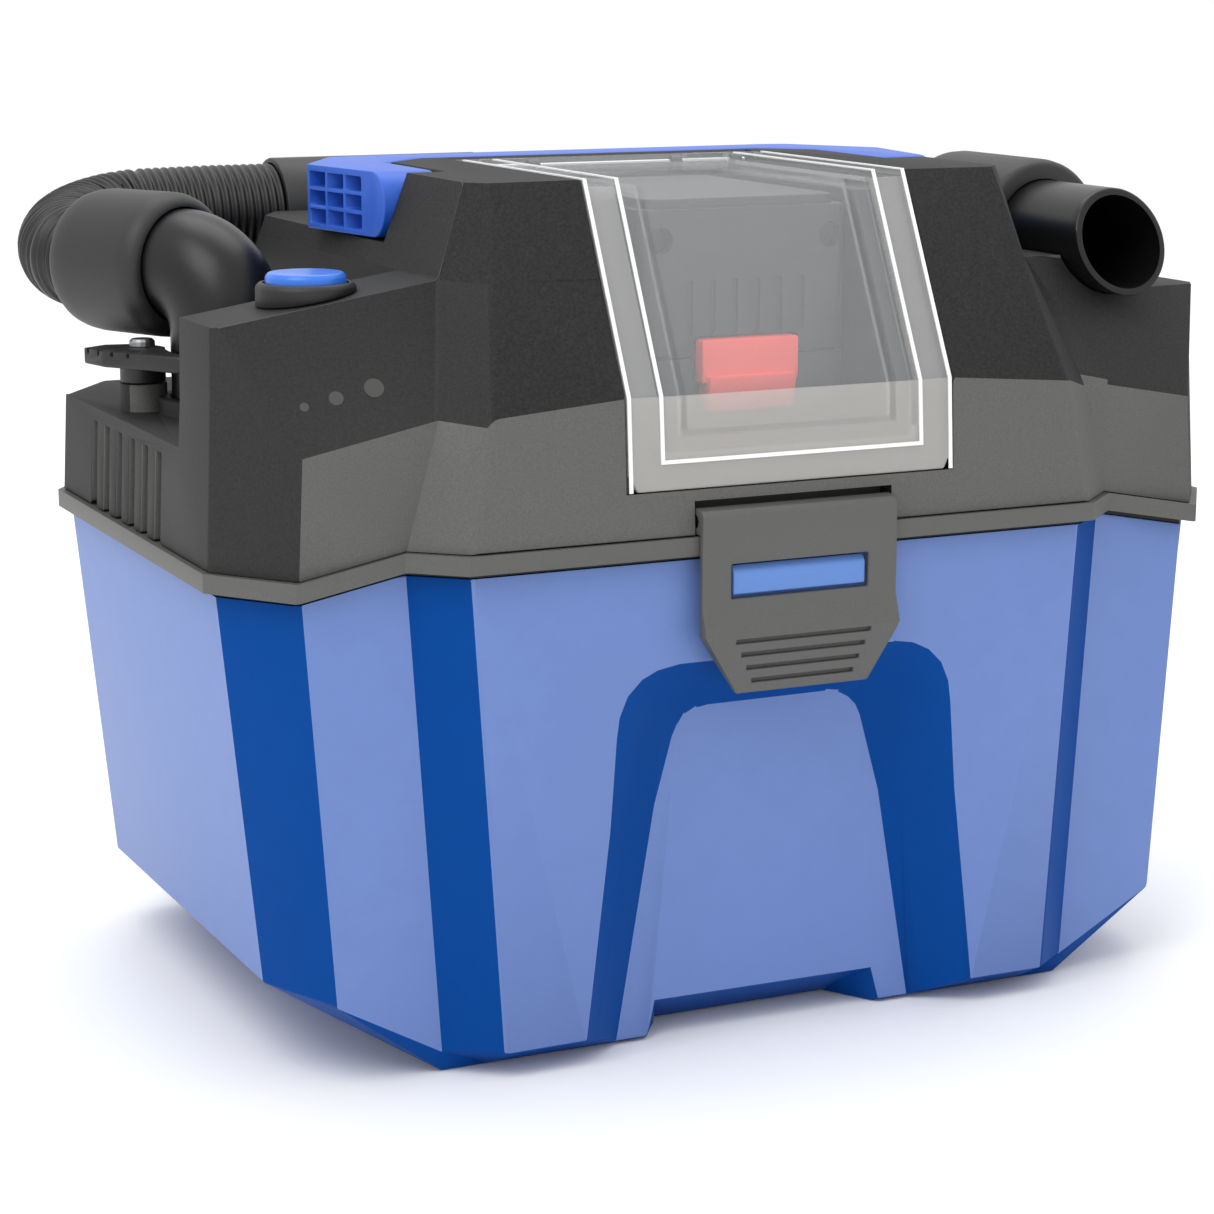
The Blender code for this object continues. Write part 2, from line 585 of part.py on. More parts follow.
for sx in (-1, 1):
    for x0 in (24.5, 47.5):
        ends = sorted((sx * x0, sx * (x0 + 4.0)))
        join(bay, box("pin_post", *ends, HINGE[0] - 1.6, HINGE[0] + 1.6, BAY_FLOOR + 68.0, HINGE[1], None,
                      CUTTERS),
             rod("pin_eye", (ends[0] + 0.1, *HINGE), (ends[1] - 0.1, *HINGE), 2.1, 20, None, CUTTERS))
cut(bay, rod("eye_way", (-60, *HINGE), (60, *HINGE), DOOR_PIN_R + FIT, 16, None, CUTTERS))
PY0, PY1 = PACK_FRONT_Y, PACK_FRONT_Y + PACK_LEN
box("terminal_block", -16.0, 16.0, PY1 - 34.0, PY1 - 14.0, BAY_FLOOR + FIT, PACK_Z[0] - FIT, BLACK)

# ================================================================================ battery pack
W = PACK_HALF_W


def rounded_box(name, x0, x1, y0, y1, z0, z1, r, mat=None, coll=None, n=4):
    """Box with its vertical edges rounded."""
    pts = []
    for cx, cy, a0 in ((x0 + r, y0 + r, 180), (x1 - r, y0 + r, 270), (x1 - r, y1 - r, 0),
                       (x0 + r, y1 - r, 90)):
        pts += [(cx + r * math.cos(math.radians(a0 + 90 * k / n)),
                 cy + r * math.sin(math.radians(a0 + 90 * k / n)))
                for k in range(n + 1)]
    return prism(name, pts, "z", z0, z1, mat, coll)


case = rounded_box("battery_case", -W, W, PY0, PY1, PACK_Z[0], PACK_SEAM_Z, 6.0, BLACK)
cover = rounded_box("battery_cover", -W, W, PY0, PY1, PACK_SEAM_Z + FIT, PACK_Z[1] - 3.0, 6.0, BLACK)
join(cover, rounded_box("cover_top", -W + 3, W - 3, PY0 + 2.5, PY1 - 3, PACK_Z[1] - 5, PACK_Z[1], 6.0, None,
                        CUTTERS))
for sx in (-1, 1):
    cut(cover, rod("screw_recess", (sx * 29.5, PY0 - 3, 249.5), (sx * 29.5, PY0 + 5.0, 249.5), 4.0, 16,
                   None, CUTTERS))
for k in range(6):
    x = -19.5 + 7.8 * k
    cut(cover, box("groove", x - 1.0, x + 1.0, PY0 - 2, PY0 + 1.3, 220.0, 237.0, None, CUTTERS))
cut(cover, box("button_way", -17.3, 17.3, PY0 - 2, PY0 + 9.0, 200.0, 219.4, None, CUTTERS))
cut(case, box("button_way", -17.3, 17.3, PY0 - 2, PY0 + 9.0, 195.4, 230.0, None, CUTTERS))
release = box("battery_button", -16.8, 16.8, PY0 - 3.6, PY0 + 5.6, 205.4, 218.9, RED)
join(release, prism("button_lip",
                    [(PY0 - 3.6, 196.2), (PY0 - 5.4, 204.0), (PY0 - 5.4, 207.5), (PY0 + 3.0, 207.5),
                                   (PY0 + 3.0, 196.2)], "x", -15.2, 15.2, None, CUTTERS))

# ================================================================================ carry handle
def bail_plan(grow):
    outer = [(-99.6, BAIL_PIVOT[0]), (-106.2, 20.0), (-87.0, BAIL_REAR_Y - 2.5), (-78.0, BAIL_REAR_Y)]
    inner = [(-80.2, BAIL_PIVOT[0]), (-80.2, 17.4), (-63.8, 32.2)]
    left = outer
    right = [(-x, y) for x, y in reversed(outer)]
    back = [(-x, y) for x, y in inner] + list(reversed(inner))
    return left + right + back


handle = prism("carry_handle", bail_plan(0), "z", BAIL_Z[0], BAIL_Z[1], ACCENT)
for sx in (-1, 1):
    x0, x1 = sorted((sx * 80.2, sx * 99.6))
    join(handle, rod("hub", (x0, *BAIL_PIVOT), (x1, *BAIL_PIVOT), BAIL_R, 28, None, CUTTERS))
    for row in range(3):
        for col in range(3):
            y = -15.0 + 11.6 * col
            z = BAIL_Z[0] + 1.8 + 6.0 * row
            cut(handle, box("rib_pocket", *sorted((sx * 87.0, sx * 112.0)), y, y + 10.2, z, z + 4.8, None,
                            CUTTERS))
    cut(handle, rod("pin_bore", (sx * 70, *BAIL_PIVOT), (sx * 95.0, *BAIL_PIVOT), 3.3, 20, None, CUTTERS))
cut(handle, box("grip_hollow", -58.0, 58.0, 36.5, 49.5, BAIL_Z[0] - 4, BAIL_Z[1] - 2.4, None, CUTTERS))
origin_to(handle, (0, *BAIL_PIVOT))
for sx, side in ((-1, "left"), (1, "right")):
    turned(f"handle_pin_{side}", [(0, 0), (5.2, 0), (5.2, 2.6), (2.9, 2.6), (2.9, 20.0), (0, 20.0)],
           (sx * 73.6, *BAIL_PIVOT), (sx, 0, 0), 20, STEEL)

# ================================================================================ latches
def latch(name, side):
    """Hook plate hung from a pin in the head; side is -1 at the front, 1 at the rear."""
    py, pz = LATCH_PIN
    hub = [(py + 4.0 * math.sin(math.radians(t)), pz + 4.0 * math.cos(math.radians(t)))
           for t in range(0, -181, -20)]
    face = LATCH_FACE_Y
    inner = face - 2.6
    profile = hub + [(inner, pz - 4.0), (inner, 131.0), (face - 0.6, 115.2), (face + 1.6, 115.2),
                     (face + 2.8, 132.8),
                     (face, 140.8), (face, pz + 2.0), (face - 1.2, pz + 3.5)]
    obj = prism(name, [(side * u, v) for u, v in profile], "x", -LATCH_HALF_W, LATCH_HALF_W, GREY)
    for sx in (-1, 1):
        cut(obj, prism("taper", [(sx * 50.0, 100.0), (sx * 50.0, 133.0), (sx * 33.6, 133.0),
                                 (sx * 22.6, 115.0),
                                 (sx * 22.6, 100.0)], "y", -140, 140, None, CUTTERS))
    ends = sorted((side * 110, side * 140))
    cut(obj, box("window", -23.8, 23.8, *ends, 144.4, 155.2, None, CUTTERS))
    for k in range(4):
        z = 131.6 - 4.2 * k
        half = 23.4 - 1.9 * k
        cut(obj, box("groove", -half, half, *sorted((side * (face + 0.9 - 0.3 * k), side * (face + 9))),
                     z - 0.7, z + 0.7,
                     None, CUTTERS))
    pin_y = side * py
    cut(obj, rod("pin_way", (-50, pin_y, pz), (50, pin_y, pz), PIN_R + 0.2, 16, None, CUTTERS))
    origin_to(obj, (0, pin_y, pz))
    rod(name + "_pin", (FIT - LATCH_HALF_W, pin_y, pz), (LATCH_HALF_W - FIT, pin_y, pz), PIN_R, 16, STEEL)
    return obj


latch("front_latch", -1)
latch("rear_latch", 1)


# ================================================================================ power switch
def lobe_top(x):
    """Height of the left lobe's top face."""
    return LOBE_TOP_Z - LOBE_SLOPE * (abs(x) - 102.2)


collar = turned("button_collar",
                [(BUTTON_R + 0.35, 228.0), (COLLAR_R, 228.0), (COLLAR_R, 238.6), (COLLAR_R - 1.2, 240.0),
                                  (BUTTON_R + 0.35, 240.0)], (*BUTTON_AT, 0), (0, 0, 1), 28, BLACK)
cut(collar, prism("collar_foot",
                  [(-200.0, lobe_top(200.0) + FIT), (-90.0, lobe_top(90.0) + FIT), (-90.0, 200.0),
                                  (-200.0, 200.0)], "y", -120, 0, None, CUTTERS))
turned("power_button",
       [(0, 229.0), (5.0, 229.0), (5.0, 236.2), (BUTTON_R - 0.4, 236.2), (BUTTON_R - 0.4, 241.6),
                        (BUTTON_R - 1.4, 242.9), (0, 242.2)], (*BUTTON_AT, 0), (0, 0, 1), 28, ACCENT)
bx, by = BUTTON_AT
box("power_switch", bx - 9.0, bx + 9.0, by - 11.0, by + 11.0, 204.0, 229.0 - BUTTON_TRAVEL - FIT, BLACK)

# ================================================================================ hose
DIR = Vector((*CUFF_DIR, 0.0)).normalized()
PORT = Vector((*PORT_AT, 0.0))
CUFF_S = (19.6, 61.0)       # distance of the swivel cuff's ends from the port axis
REAR_Y = 119.4
REAR_Z = 245.0
HOSE_BEND_R = 32.0
CUFF_LEN = 79.0
HOSE_END_X = -12.0
CUFF_START_X = -85.0
WAND_BEND_R = 32.0


def elbow_path():
    path = [(PORT + Vector((0, 0, 172.0)), (0, 0, 1)),
            (PORT + Vector((0, 0, ELBOW_Z - ELBOW_BEND)), (0, 0, 1))]
    for k in range(1, 7):
        t = math.radians(90 * k / 6)
        point = PORT + DIR * ELBOW_BEND * (1 - math.cos(t)) + Vector((0, 0, ELBOW_Z - ELBOW_BEND + ELBOW_BEND * math.sin(t)))
        path.append((point, DIR * math.sin(t) + Vector((0, 0, math.cos(t)))))
    path.append((PORT + DIR * (CUFF_S[0] + 17.0) + Vector((0, 0, ELBOW_Z)), DIR))
    return path


def bent_tube(name, path, r, r_in, n, mat):
    """Round tube whose rings stay square to the path, without twist."""
    rings_out, rings_in = [], []
    ref = Vector((-DIR.y, DIR.x, 0)) if abs(Vector(path[0][1]).z) > 0.9 else Vector((0, 0, 1))
    for p, d in path:
        d = Vector(d).normalized()
        ref = (ref - d * ref.dot(d)).normalized()
        other = d.cross(ref)
        for rings, rad in ((rings_out, r), (rings_in, r_in)):
            rings.append([Vector(p) + rad * (math.cos(2 * math.pi * i / n) * ref + math.sin(2 * math.pi * i / n) * other)
                          for i in range(n)])
    obj = loft(name, rings_out, mat, None, True)
    rings_in[0] = [v - Vector(path[0][1]) * 5 for v in rings_in[0]]
    rings_in[-1] = [v + Vector(path[-1][1]) * 5 for v in rings_in[-1]]
    return cut(obj, loft(name + "_bore", rings_in, None, CUTTERS))


bent_tube("hose_elbow", elbow_path(), ELBOW_R, ELBOW_R - 3.0, 24, BLACK)
length = CUFF_S[1] - CUFF_S[0]
cuff_at = PORT + DIR * CUFF_S[0] + Vector((0, 0, ELBOW_Z))
turned("hose_cuff",
       [(ELBOW_R + 0.6, 0), (CUFF_R - 2.0, 0), (CUFF_R, 2.6), (CUFF_R, length - 3.0), (CUFF_R - 2.2, length),
                     (HOSE_R + 0.5, length), (HOSE_R + 0.5, 19.0), (ELBOW_R + 0.6, 18.0)], cuff_at, DIR, 32,
       BLACK)

HOSE_START = PORT + DIR * (CUFF_S[0] + 19.6) + Vector((0, 0, ELBOW_Z))
HOSE_TURN = PORT + DIR * (CUFF_S[1] + 1.6) + Vector((0, 0, ELBOW_Z))
RIGHT = Vector((DIR.y, -DIR.x, 0))


def hose_route():
    """Centreline of the hose from inside the swivel cuff to inside the end cuff."""
    turn = math.pi / 2 + math.atan2(-DIR.x, DIR.y)
    centre = HOSE_TURN + RIGHT * HOSE_BEND_R
    points = [HOSE_START, HOSE_START.lerp(HOSE_TURN, 0.5)]
    steps = 14
    for k in range(steps + 1):
        t = turn * k / steps
        p = centre - RIGHT * HOSE_BEND_R * math.cos(t) + DIR * HOSE_BEND_R * math.sin(t)
        points.append(p)
    last = points[-1]
    for k in range(1, 6):
        points.append(Vector((last.x + (HOSE_END_X - last.x) * k / 5, last.y, last.z)))
    bend = len(points) - 1
    total = 0.0
    lengths = [0.0]
    for a, b in zip(points, points[1:]):
        total += (b - a).length
        lengths.append(total)
    rise_from, rise_to = lengths[2], lengths[bend - 5] + 10
    out = []
    for p, s_len in zip(points, lengths):
        k = min(1.0, max(0.0, (s_len - rise_from) / (rise_to - rise_from)))
        out.append(Vector((p.x, p.y + (REAR_Y - last.y) * k,
                           ELBOW_Z + (REAR_Z - ELBOW_Z) * k * k * (3 - 2 * k))))
    return out


def cord(name, points, r, mat):
    """A round bar along a poly line, as a curve with filled caps made into a mesh."""
    data = bpy.data.curves.new(name, "CURVE")
    data.dimensions = "3D"
    spline = data.splines.new("POLY")
    spline.points.add(len(points) - 1)
    for point, co in zip(spline.points, points):
        point.co = (*(Vector(co) * MM), 1.0)
    data.bevel_depth = r * MM
    data.bevel_resolution = 4
    data.use_fill_caps = True
    curve = bpy.data.objects.new(name + "_curve", data)
    CUTTERS.objects.link(curve)
    bpy.context.view_layer.update()
    mesh = bpy.data.meshes.new_from_object(curve.evaluated_get(bpy.context.evaluated_depsgraph_get()))
    bpy.data.objects.remove(curve, do_unlink=True)
    bm = bmesh.new()
    bm.from_mesh(mesh)
    bpy.data.meshes.remove(mesh)
    return finish_bm(bm, name, mat, None, True)


cord("hose", hose_route(), HOSE_R, BLACK)
END_CUFF_R = 19.4
turned("hose_end_cuff",
       [(HOSE_R + 0.3, 0), (END_CUFF_R - 0.8, 0), (END_CUFF_R, 1.4), (END_CUFF_R, CUFF_LEN - 3.0),
        (END_CUFF_R - 1.4, CUFF_LEN),
                         (HOSE_R + 0.3, CUFF_LEN)], (CUFF_START_X, REAR_Y, REAR_Z), (1, 0, 0), 28, BLACK)


def wand_path():
    path = [(Vector((HOSE_END_X + 1.0, REAR_Y, REAR_Z)), (1, 0, 0)),
            (Vector((WAND_X - WAND_BEND_R, REAR_Y, REAR_Z)), (1, 0, 0))]
    for k in range(1, 8):
        t = math.radians(90 * k / 7)
        path.append((Vector((WAND_X - WAND_BEND_R * (1 - math.sin(t)),
                             REAR_Y - WAND_BEND_R * (1 - math.cos(t)),
                             REAR_Z + (WAND_Z - REAR_Z) * k / 7)), (math.cos(t), -math.sin(t), 0)))
    path.append((Vector((WAND_X, 4.0, WAND_Z)), (0, -1, 0)))
    return path


bent_tube("wand_handle", wand_path(), TUBE_R, TUBE_R - 2.4, 24, BLACK)
COLLAR_Y = (-45.0, 15.0)
turned("wand_collar",
       [(TUBE_R + 0.4, 0), (CUFF_R - 1.6, 0), (CUFF_R + 0.1, 2.4), (CUFF_R + 0.1, 57.0), (CUFF_R - 1.4, 60.0),
                       (TUBE_R + 0.4, 60.0)], (WAND_X, COLLAR_Y[0], WAND_Z), (0, 1, 0), 28, BLACK)
nozzle = turned("nozzle_tube", [(TUBE_R - 2.2, 0), (TUBE_R, 0), (TUBE_R, 106.0), (TUBE_R - 2.2, 106.0)],
                (WAND_X, 3.0, WAND_Z), (0, -1, 0), 28, BLACK)
cut(nozzle, prism("mitre", [(-130.0, WAND_Z - 40), (-130.0, WAND_Z + 40), (-76.5, WAND_Z + 40),
                            (-99.0, WAND_Z - 18),
                            (-100.0, WAND_Z - 40)], "x", 100, 170, None, CUTTERS))
for k, x in enumerate((12.0, 66.0)):
    clip = turned(f"hose_clip_{k + 1}",
                  [(TUBE_R + 0.3, 0), (TUBE_R + 2.3, 0), (TUBE_R + 2.3, 12.0), (TUBE_R + 0.3, 12.0)],
                  (x, REAR_Y, REAR_Z), (1, 0, 0), 28, BLACK)
    cut(clip, box("clip_mouth", x - 5, x + 20, REAR_Y - 9, REAR_Y + 30, REAR_Z + 10, REAR_Z + 40, None,
                  CUTTERS))

# ================================================================================ lever
LEVER_PLAN = [(-178, 36), (-170, 41), (-158, 38.5), (-154.5, 30), (-155.5, 18), (-155, 8), (-152, -2),
              (-158, -3),
              (-165, 10), (-175, 24)]
LEVER_Z = (205.8, 211.0)
lever = prism("lock_lever", LEVER_PLAN, "z", *LEVER_Z, BLACK)
join(lever, rod("lever_hub", (*LEVER_AT, DECK_Z + 9.0 + FIT), (*LEVER_AT, LEVER_Z[1] - 0.4), 7.4, 28, None,
                CUTTERS))
for k in range(4):
    a, b = Vector((-179, 34, 0)), Vector((-168, 18, 0))
    mid = a.lerp(b, k / 3)
    cut(lever, prism("rib_gap",
                     [(mid.x - 3, mid.y - 3.4), (mid.x + 3.5, mid.y - 0.2), (mid.x + 3.0, mid.y + 0.8),
                                 (mid.x - 3.5, mid.y - 2.4)], "z", LEVER_Z[1] - 1.6, LEVER_Z[1] + 4, None,
                     CUTTERS))
cut(lever, rod("lever_bore", (*LEVER_AT, 190), (*LEVER_AT, 220), 2.3, 16, None, CUTTERS))
origin_to(lever, (*LEVER_AT, LEVER_Z[0]))
turned("lever_screw",
       [(0, 183.0), (1.9, 183.0), (1.9, LEVER_Z[1] + FIT), (4.2, LEVER_Z[1] + FIT), (4.2, LEVER_Z[1] + 1.8),
                       (3.4, LEVER_Z[1] + 2.6), (0, LEVER_Z[1] + 2.6)], (*LEVER_AT, 0), (0, 0, 1), 16, STEEL)

# ================================================================================ fan and motor
FAN_Z = FLANGE_Z + 3.0 + FIT
mx, my = MOTOR_AT
turned("fan_cover", [(14.0, FAN_Z), (36.0, FAN_Z), (36.0, FAN_Z + 2.4), (14.0, FAN_Z + 2.4)], (mx, my, 0),
       (0, 0, 1), 28, GREY)
impeller = turned("impeller",
                  [(0, 166.0), (30.0, 166.0), (30.0, 167.6), (8.0, 168.6), (8.0, 176.0), (0, 176.0)],
                  (mx, my, 0),
                  (0, 0, 1), 36, BLACK)
for k in range(8):
    a = math.radians(45 * k)
    d = Vector((math.cos(a), math.sin(a), 0))
    q = Vector((-d.y, d.x, 0)) * 0.8
    c0, c1 = Vector((mx, my, 0)) + d * 7.0, Vector((mx, my, 0)) + d * 27.0 + q * 10
    join(impeller,
         prism("blade", [tuple((c0 - q)[:2]), tuple((c1 - q)[:2]), tuple((c1 + q)[:2]),
                         tuple((c0 + q)[:2])], "z",
                         167.0, 175.0, None, CUTTERS))
rod("motor_shaft", (mx, my, 176.3), (mx, my, 190.0), 3.0, 20, STEEL)
turned("motor_can",
       [(3.4, 181.0), (MOTOR_R, 181.0), (MOTOR_R, 206.0), (0, 206.0), (0, 191.0), (3.4, 191.0)], (mx, my, 0),
       (0, 0, 1), 40, STEEL)
turned("motor_housing",
       [(HOUSING_R, FAN_Z + 2.7), (HOUSING_R + 2.0, FAN_Z + 2.7), (HOUSING_R + 2.0, 209.0), (9.0, 209.0),
                         (9.0, 207.0), (HOUSING_R, 207.0)], (mx, my, 0), (0, 0, 1), 28, GREY)
box("control_board", 50.0, 51.6, -60.0, 6.0, 188.0, 238.0, BOARD)

# ================================================================================ filter
cage = turned("filter_cage",
              [(0, 60.0), (33.0, 60.0), (33.0, 154.4), (FILTER_R, 154.4), (FILTER_R, 157.4), (30.7, 157.4),
                              (30.7, 62.4), (0, 62.4)], (mx, my, 0), (0, 0, 1), 24, BLACK)
for k in range(4):
    a = math.radians(45 * k + 22.5)
    d = Vector((math.cos(a), math.sin(a), 0))
    q = Vector((-d.y, d.x, 0)) * 7.0
    c0, c1 = Vector((mx, my, 0)) - d * 36, Vector((mx, my, 0)) + d * 36
    for z in (70.0, 112.0):
        cut(cage, prism("cage_window",
                        [tuple((c0 - q)[:2]), tuple((c1 - q)[:2]), tuple((c1 + q)[:2]), tuple((c0 + q)[:2])],
                        "z", z, z + 36.0, None, CUTTERS))
tube_z("filter_sleeve", mx, my, 60.3, 154.1, FILTER_R, 33.4, PLEAT, 28)
turned("filter_cap", [(0, 56.6), (FILTER_R + 1.0, 56.6), (FILTER_R + 1.0, 59.7), (0, 59.7)], (mx, my, 0),
       (0, 0, 1), 28, BLACK)
box("exhaust_foam", -170.2, -164.2, -36.0, 46.0, 166.0, 186.8, FOAM)

# ================================================================================ screws
for k, (x, y) in enumerate(SCREW_AT):
    under = FLANGE_Z + dip(abs(x) + 4.2)
    turned(f"head_screw_{k + 1}",
           [(0, under - FIT - 2.6), (3.9, under - FIT - 2.6), (4.2, under - FIT - 1.6), (4.2, under - FIT),
                                   (1.9, under - FIT), (1.9, under + 12.0), (0, under + 12.0)], (x, y, 0),
           (0, 0, 1), 12, STEEL)
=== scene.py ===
# %% [markdown]
# # A compact battery shop vacuum
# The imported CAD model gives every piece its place. This file dresses it: camera and floor first,
# then the finishes, then each moulding with soft edges, and last the stretch hose with its rings.

# %% Load the frame
import json
import math

import bmesh
import bpy
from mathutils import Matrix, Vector
from mathutils.bvhtree import BVHTree


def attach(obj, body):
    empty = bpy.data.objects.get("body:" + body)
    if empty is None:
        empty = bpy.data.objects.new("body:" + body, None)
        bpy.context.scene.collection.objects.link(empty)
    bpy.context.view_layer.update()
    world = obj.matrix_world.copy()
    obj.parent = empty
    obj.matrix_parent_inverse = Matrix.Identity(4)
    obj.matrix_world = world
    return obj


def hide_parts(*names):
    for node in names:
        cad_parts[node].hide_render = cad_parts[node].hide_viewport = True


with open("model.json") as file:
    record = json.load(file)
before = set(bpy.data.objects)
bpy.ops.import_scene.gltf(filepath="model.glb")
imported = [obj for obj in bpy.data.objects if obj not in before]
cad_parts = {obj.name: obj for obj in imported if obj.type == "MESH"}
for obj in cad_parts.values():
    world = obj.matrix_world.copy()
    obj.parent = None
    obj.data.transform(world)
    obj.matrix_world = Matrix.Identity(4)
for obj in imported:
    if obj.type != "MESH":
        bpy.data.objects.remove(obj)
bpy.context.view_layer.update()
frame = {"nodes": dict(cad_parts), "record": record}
MM = 0.001

# %% [markdown]
# ## Camera, floor and light
# The object stands on a plain pale floor. The camera is a long lens a little above it and to its
# left. Two large soft panels and a bright sky keep the shadows open, as in a product studio.

# %% Camera
CAMERA_AT = Vector((-439.96, -925.86, 335.21)) * MM
YAW, PITCH = math.radians(25.005), math.radians(-12.064)
camera_data = bpy.data.cameras.new("camera")
camera_data.lens = 90.51
camera_data.sensor_width = 36.0
camera_data.clip_start = 0.01
camera = bpy.data.objects.new("camera", camera_data)
camera.location = CAMERA_AT
camera.rotation_euler = (math.radians(90) + PITCH, 0.0, -YAW)
scene = bpy.context.scene
scene.collection.objects.link(camera)
scene.camera = camera
scene.view_settings.view_transform = "Standard"
print("camera", tuple(round(v, 3) for v in camera.location))


# %% A link to a node, used by every material
def linear(hex_colour):
    """sRGB hex to linear RGBA."""
    values = [int(hex_colour[i:i + 2], 16) / 255 for i in (1, 3, 5)]
    return (*[v / 12.92 if v <= 0.04045 else ((v + 0.055) / 1.055) ** 2.4 for v in values], 1.0)


def node(tree, kind, settings=None, links=None, **inputs):
    """Adds one node with its settings, input values and incoming links."""
    made = tree.nodes.new(kind)
    for key, value in (settings or {}).items():
        setattr(made, key, value)
    for key, value in inputs.items():
        made.inputs[key.replace("_", " ")].default_value = value
    for key, socket in (links or {}).items():
        tree.links.new(socket, made.inputs[key])
    return made


# %% Floor and lights
def paint(name, base, rough, **values):
    """A material with one Principled shader; returns it with its tree and shader."""
    made = bpy.data.materials.new(name)
    made.use_nodes = True
    shader = made.node_tree.nodes["Principled BSDF"]
    shader.inputs["Base Color"].default_value = linear(base)
    shader.inputs["Roughness"].default_value = rough
    for key, value in values.items():
        shader.inputs[key.replace("_", " ")].default_value = value
    return made, made.node_tree, shader


floor_mesh = bpy.data.meshes.new("floor")
half = 60.0
floor_mesh.from_pydata([(-half, -half, 0), (half, -half, 0), (half, half, 0), (-half, half, 0)], [],
                       [(0, 1, 2, 3)])
floor = bpy.data.objects.new("floor", floor_mesh)
floor.location.z = -0.0004
scene.collection.objects.link(floor)
floor_mesh.materials.append(paint("studio_floor", "#fbfbfb", 0.7)[0])

world = bpy.data.worlds.new("studio")
world.use_nodes = True
world.node_tree.nodes["Background"].inputs["Color"].default_value = (1.0, 1.0, 1.0, 1.0)
world.node_tree.nodes["Background"].inputs["Strength"].default_value = 1.04
scene.world = world


def soft_panel(name, at, aim, size, watts):
    data = bpy.data.lights.new(name, "AREA")
    data.shape = "RECTANGLE"
    data.size, data.size_y = size
    data.energy = watts
    lamp = bpy.data.objects.new(name, data)
    lamp.location = at
    lamp.rotation_euler = (Vector(aim) - Vector(at)).to_track_quat("-Z", "Y").to_euler()
    scene.collection.objects.link(lamp)


soft_panel("key", (-0.9, -0.6, 1.5), (0, 0, 0.15), (1.0, 1.0), 10)
soft_panel("top", (0.3, 0.5, 1.7), (0, 0, 0.2), (1.4, 1.0), 9)
print("floor and two soft panels")

# %% [markdown]
# ## Finishes
# The tank is moulded polypropylene: smooth, with a satin gloss and a very fine orange peel. Its flat
# panels are painted a paler blue than its bevels, a painted reflection. The head is ABS with a
# spark-eroded grain; the sloped upper panels have a coarser grain and a darker grey than the skirt,
# whose front and back faces are painted lighter as painted light.


# %% Moulded plastics
def grain(tree, shader, size_mm, depth, shade=0.0, base=None):
    """Moulded grain: noise at a real size, as bump and as a little colour change."""
    coords = node(tree, "ShaderNodeTexCoord")
    noise = node(tree, "ShaderNodeTexNoise", links={"Vector": coords.outputs["Object"]},
                 Scale=1 / (size_mm * MM),
                 Detail=3.0, Roughness=0.6)
    bump = node(tree, "ShaderNodeBump", links={"Height": noise.outputs["Fac"]}, Strength=depth,
                Distance=0.0002)
    tree.links.new(bump.outputs["Normal"], shader.inputs["Normal"])
    if base and shade:
        dark, light = Vector(linear(base)[:3]) * (1 - shade), Vector(linear(base)[:3]) * (1 + shade)
        ramp = node(tree, "ShaderNodeValToRGB", links={"Fac": noise.outputs["Fac"]})
        ramp.color_ramp.elements[0].position, ramp.color_ramp.elements[1].position = 0.3, 0.7
        ramp.color_ramp.elements[0].color = (*dark, 1.0)
        ramp.color_ramp.elements[1].color = (*light, 1.0)
        tree.links.new(ramp.outputs["Color"], shader.inputs["Base Color"])


def moulded(name, base, rough, size_mm, depth, shade=0.06, **values):
    made, tree, shader = paint(name, base, rough, **values)
    grain(tree, shader, size_mm, depth, shade, base)
    return made


# The tank is satin polypropylene; its wide panels are textured and painted paler as a painted reflection,
# its bevels bare and deep blue.
TANK_PANEL_PAINTED_REFLECTION = moulded("tank_panel_painted_reflection", "#627cb8", 0.42, 9.0, 0.04, 0.02, Specular_IOR_Level=0.4)
TANK_EDGE = moulded("tank_polypropylene_bevel", "#00408a", 0.4, 9.0, 0.04, 0.02, Specular_IOR_Level=0.06)
CATCH_BLUE = moulded("catch_polypropylene", "#5c82c4", 0.4, 5.0, 0.05, 0.02, Specular_IOR_Level=0.3)
# ABS with a spark-eroded grain. The sloped top has pits near a millimetre across, the skirt finer ones.
HEAD_UPPER = moulded("head_abs_coarse_grain", "#1f1f1f", 0.7, 0.95, 1.0, 0.5, Specular_IOR_Level=0.3)
# The skirt's front and back faces are painted a lighter grey than the rest of the head: painted light.
HEAD_SKIRT_PAINTED_LIGHT = moulded("head_abs_fine_grain_painted_light", "#575755", 0.6, 0.6, 0.5, 0.14, Specular_IOR_Level=0.4)
HEAD_SIDE = moulded("head_abs_side_grain", "#242424", 0.65, 0.8, 0.8, 0.3, Specular_IOR_Level=0.3)
FLANGE = moulded("flange_abs", "#525250", 0.5, 0.5, 0.4, 0.1)
LATCH_GREY = moulded("latch_abs", "#525251", 0.5, 0.5, 0.4, 0.1)
HANDLE_BLUE = moulded("handle_glass_filled_nylon", "#1d57c0", 0.45, 0.6, 0.2, 0.05)
BUTTON_BLUE = moulded("button_acetal", "#2f6ed2", 0.3, 1.0, 0.1, 0.02)
TUBE_BLACK = moulded("tube_polypropylene", "#0b0b0b", 0.34, 0.5, 0.15, 0.1, Specular_IOR_Level=0.4)
CUFF_BLACK = moulded("cuff_soft_polypropylene", "#202020", 0.5, 0.6, 0.35, 0.15)
HOSE_BLACK = moulded("hose_eva", "#121212", 0.42, 0.8, 0.2, 0.1)
TRIM_BLACK = moulded("trim_abs", "#161616", 0.5, 0.5, 0.3, 0.1)
PACK_BLACK = moulded("battery_case_nylon", "#2a2a2a", 0.5, 0.4, 0.3, 0.08)
PACK_RED = moulded("release_button_abs", "#ff5a52", 0.4, 1.0, 0.05, 0.02)
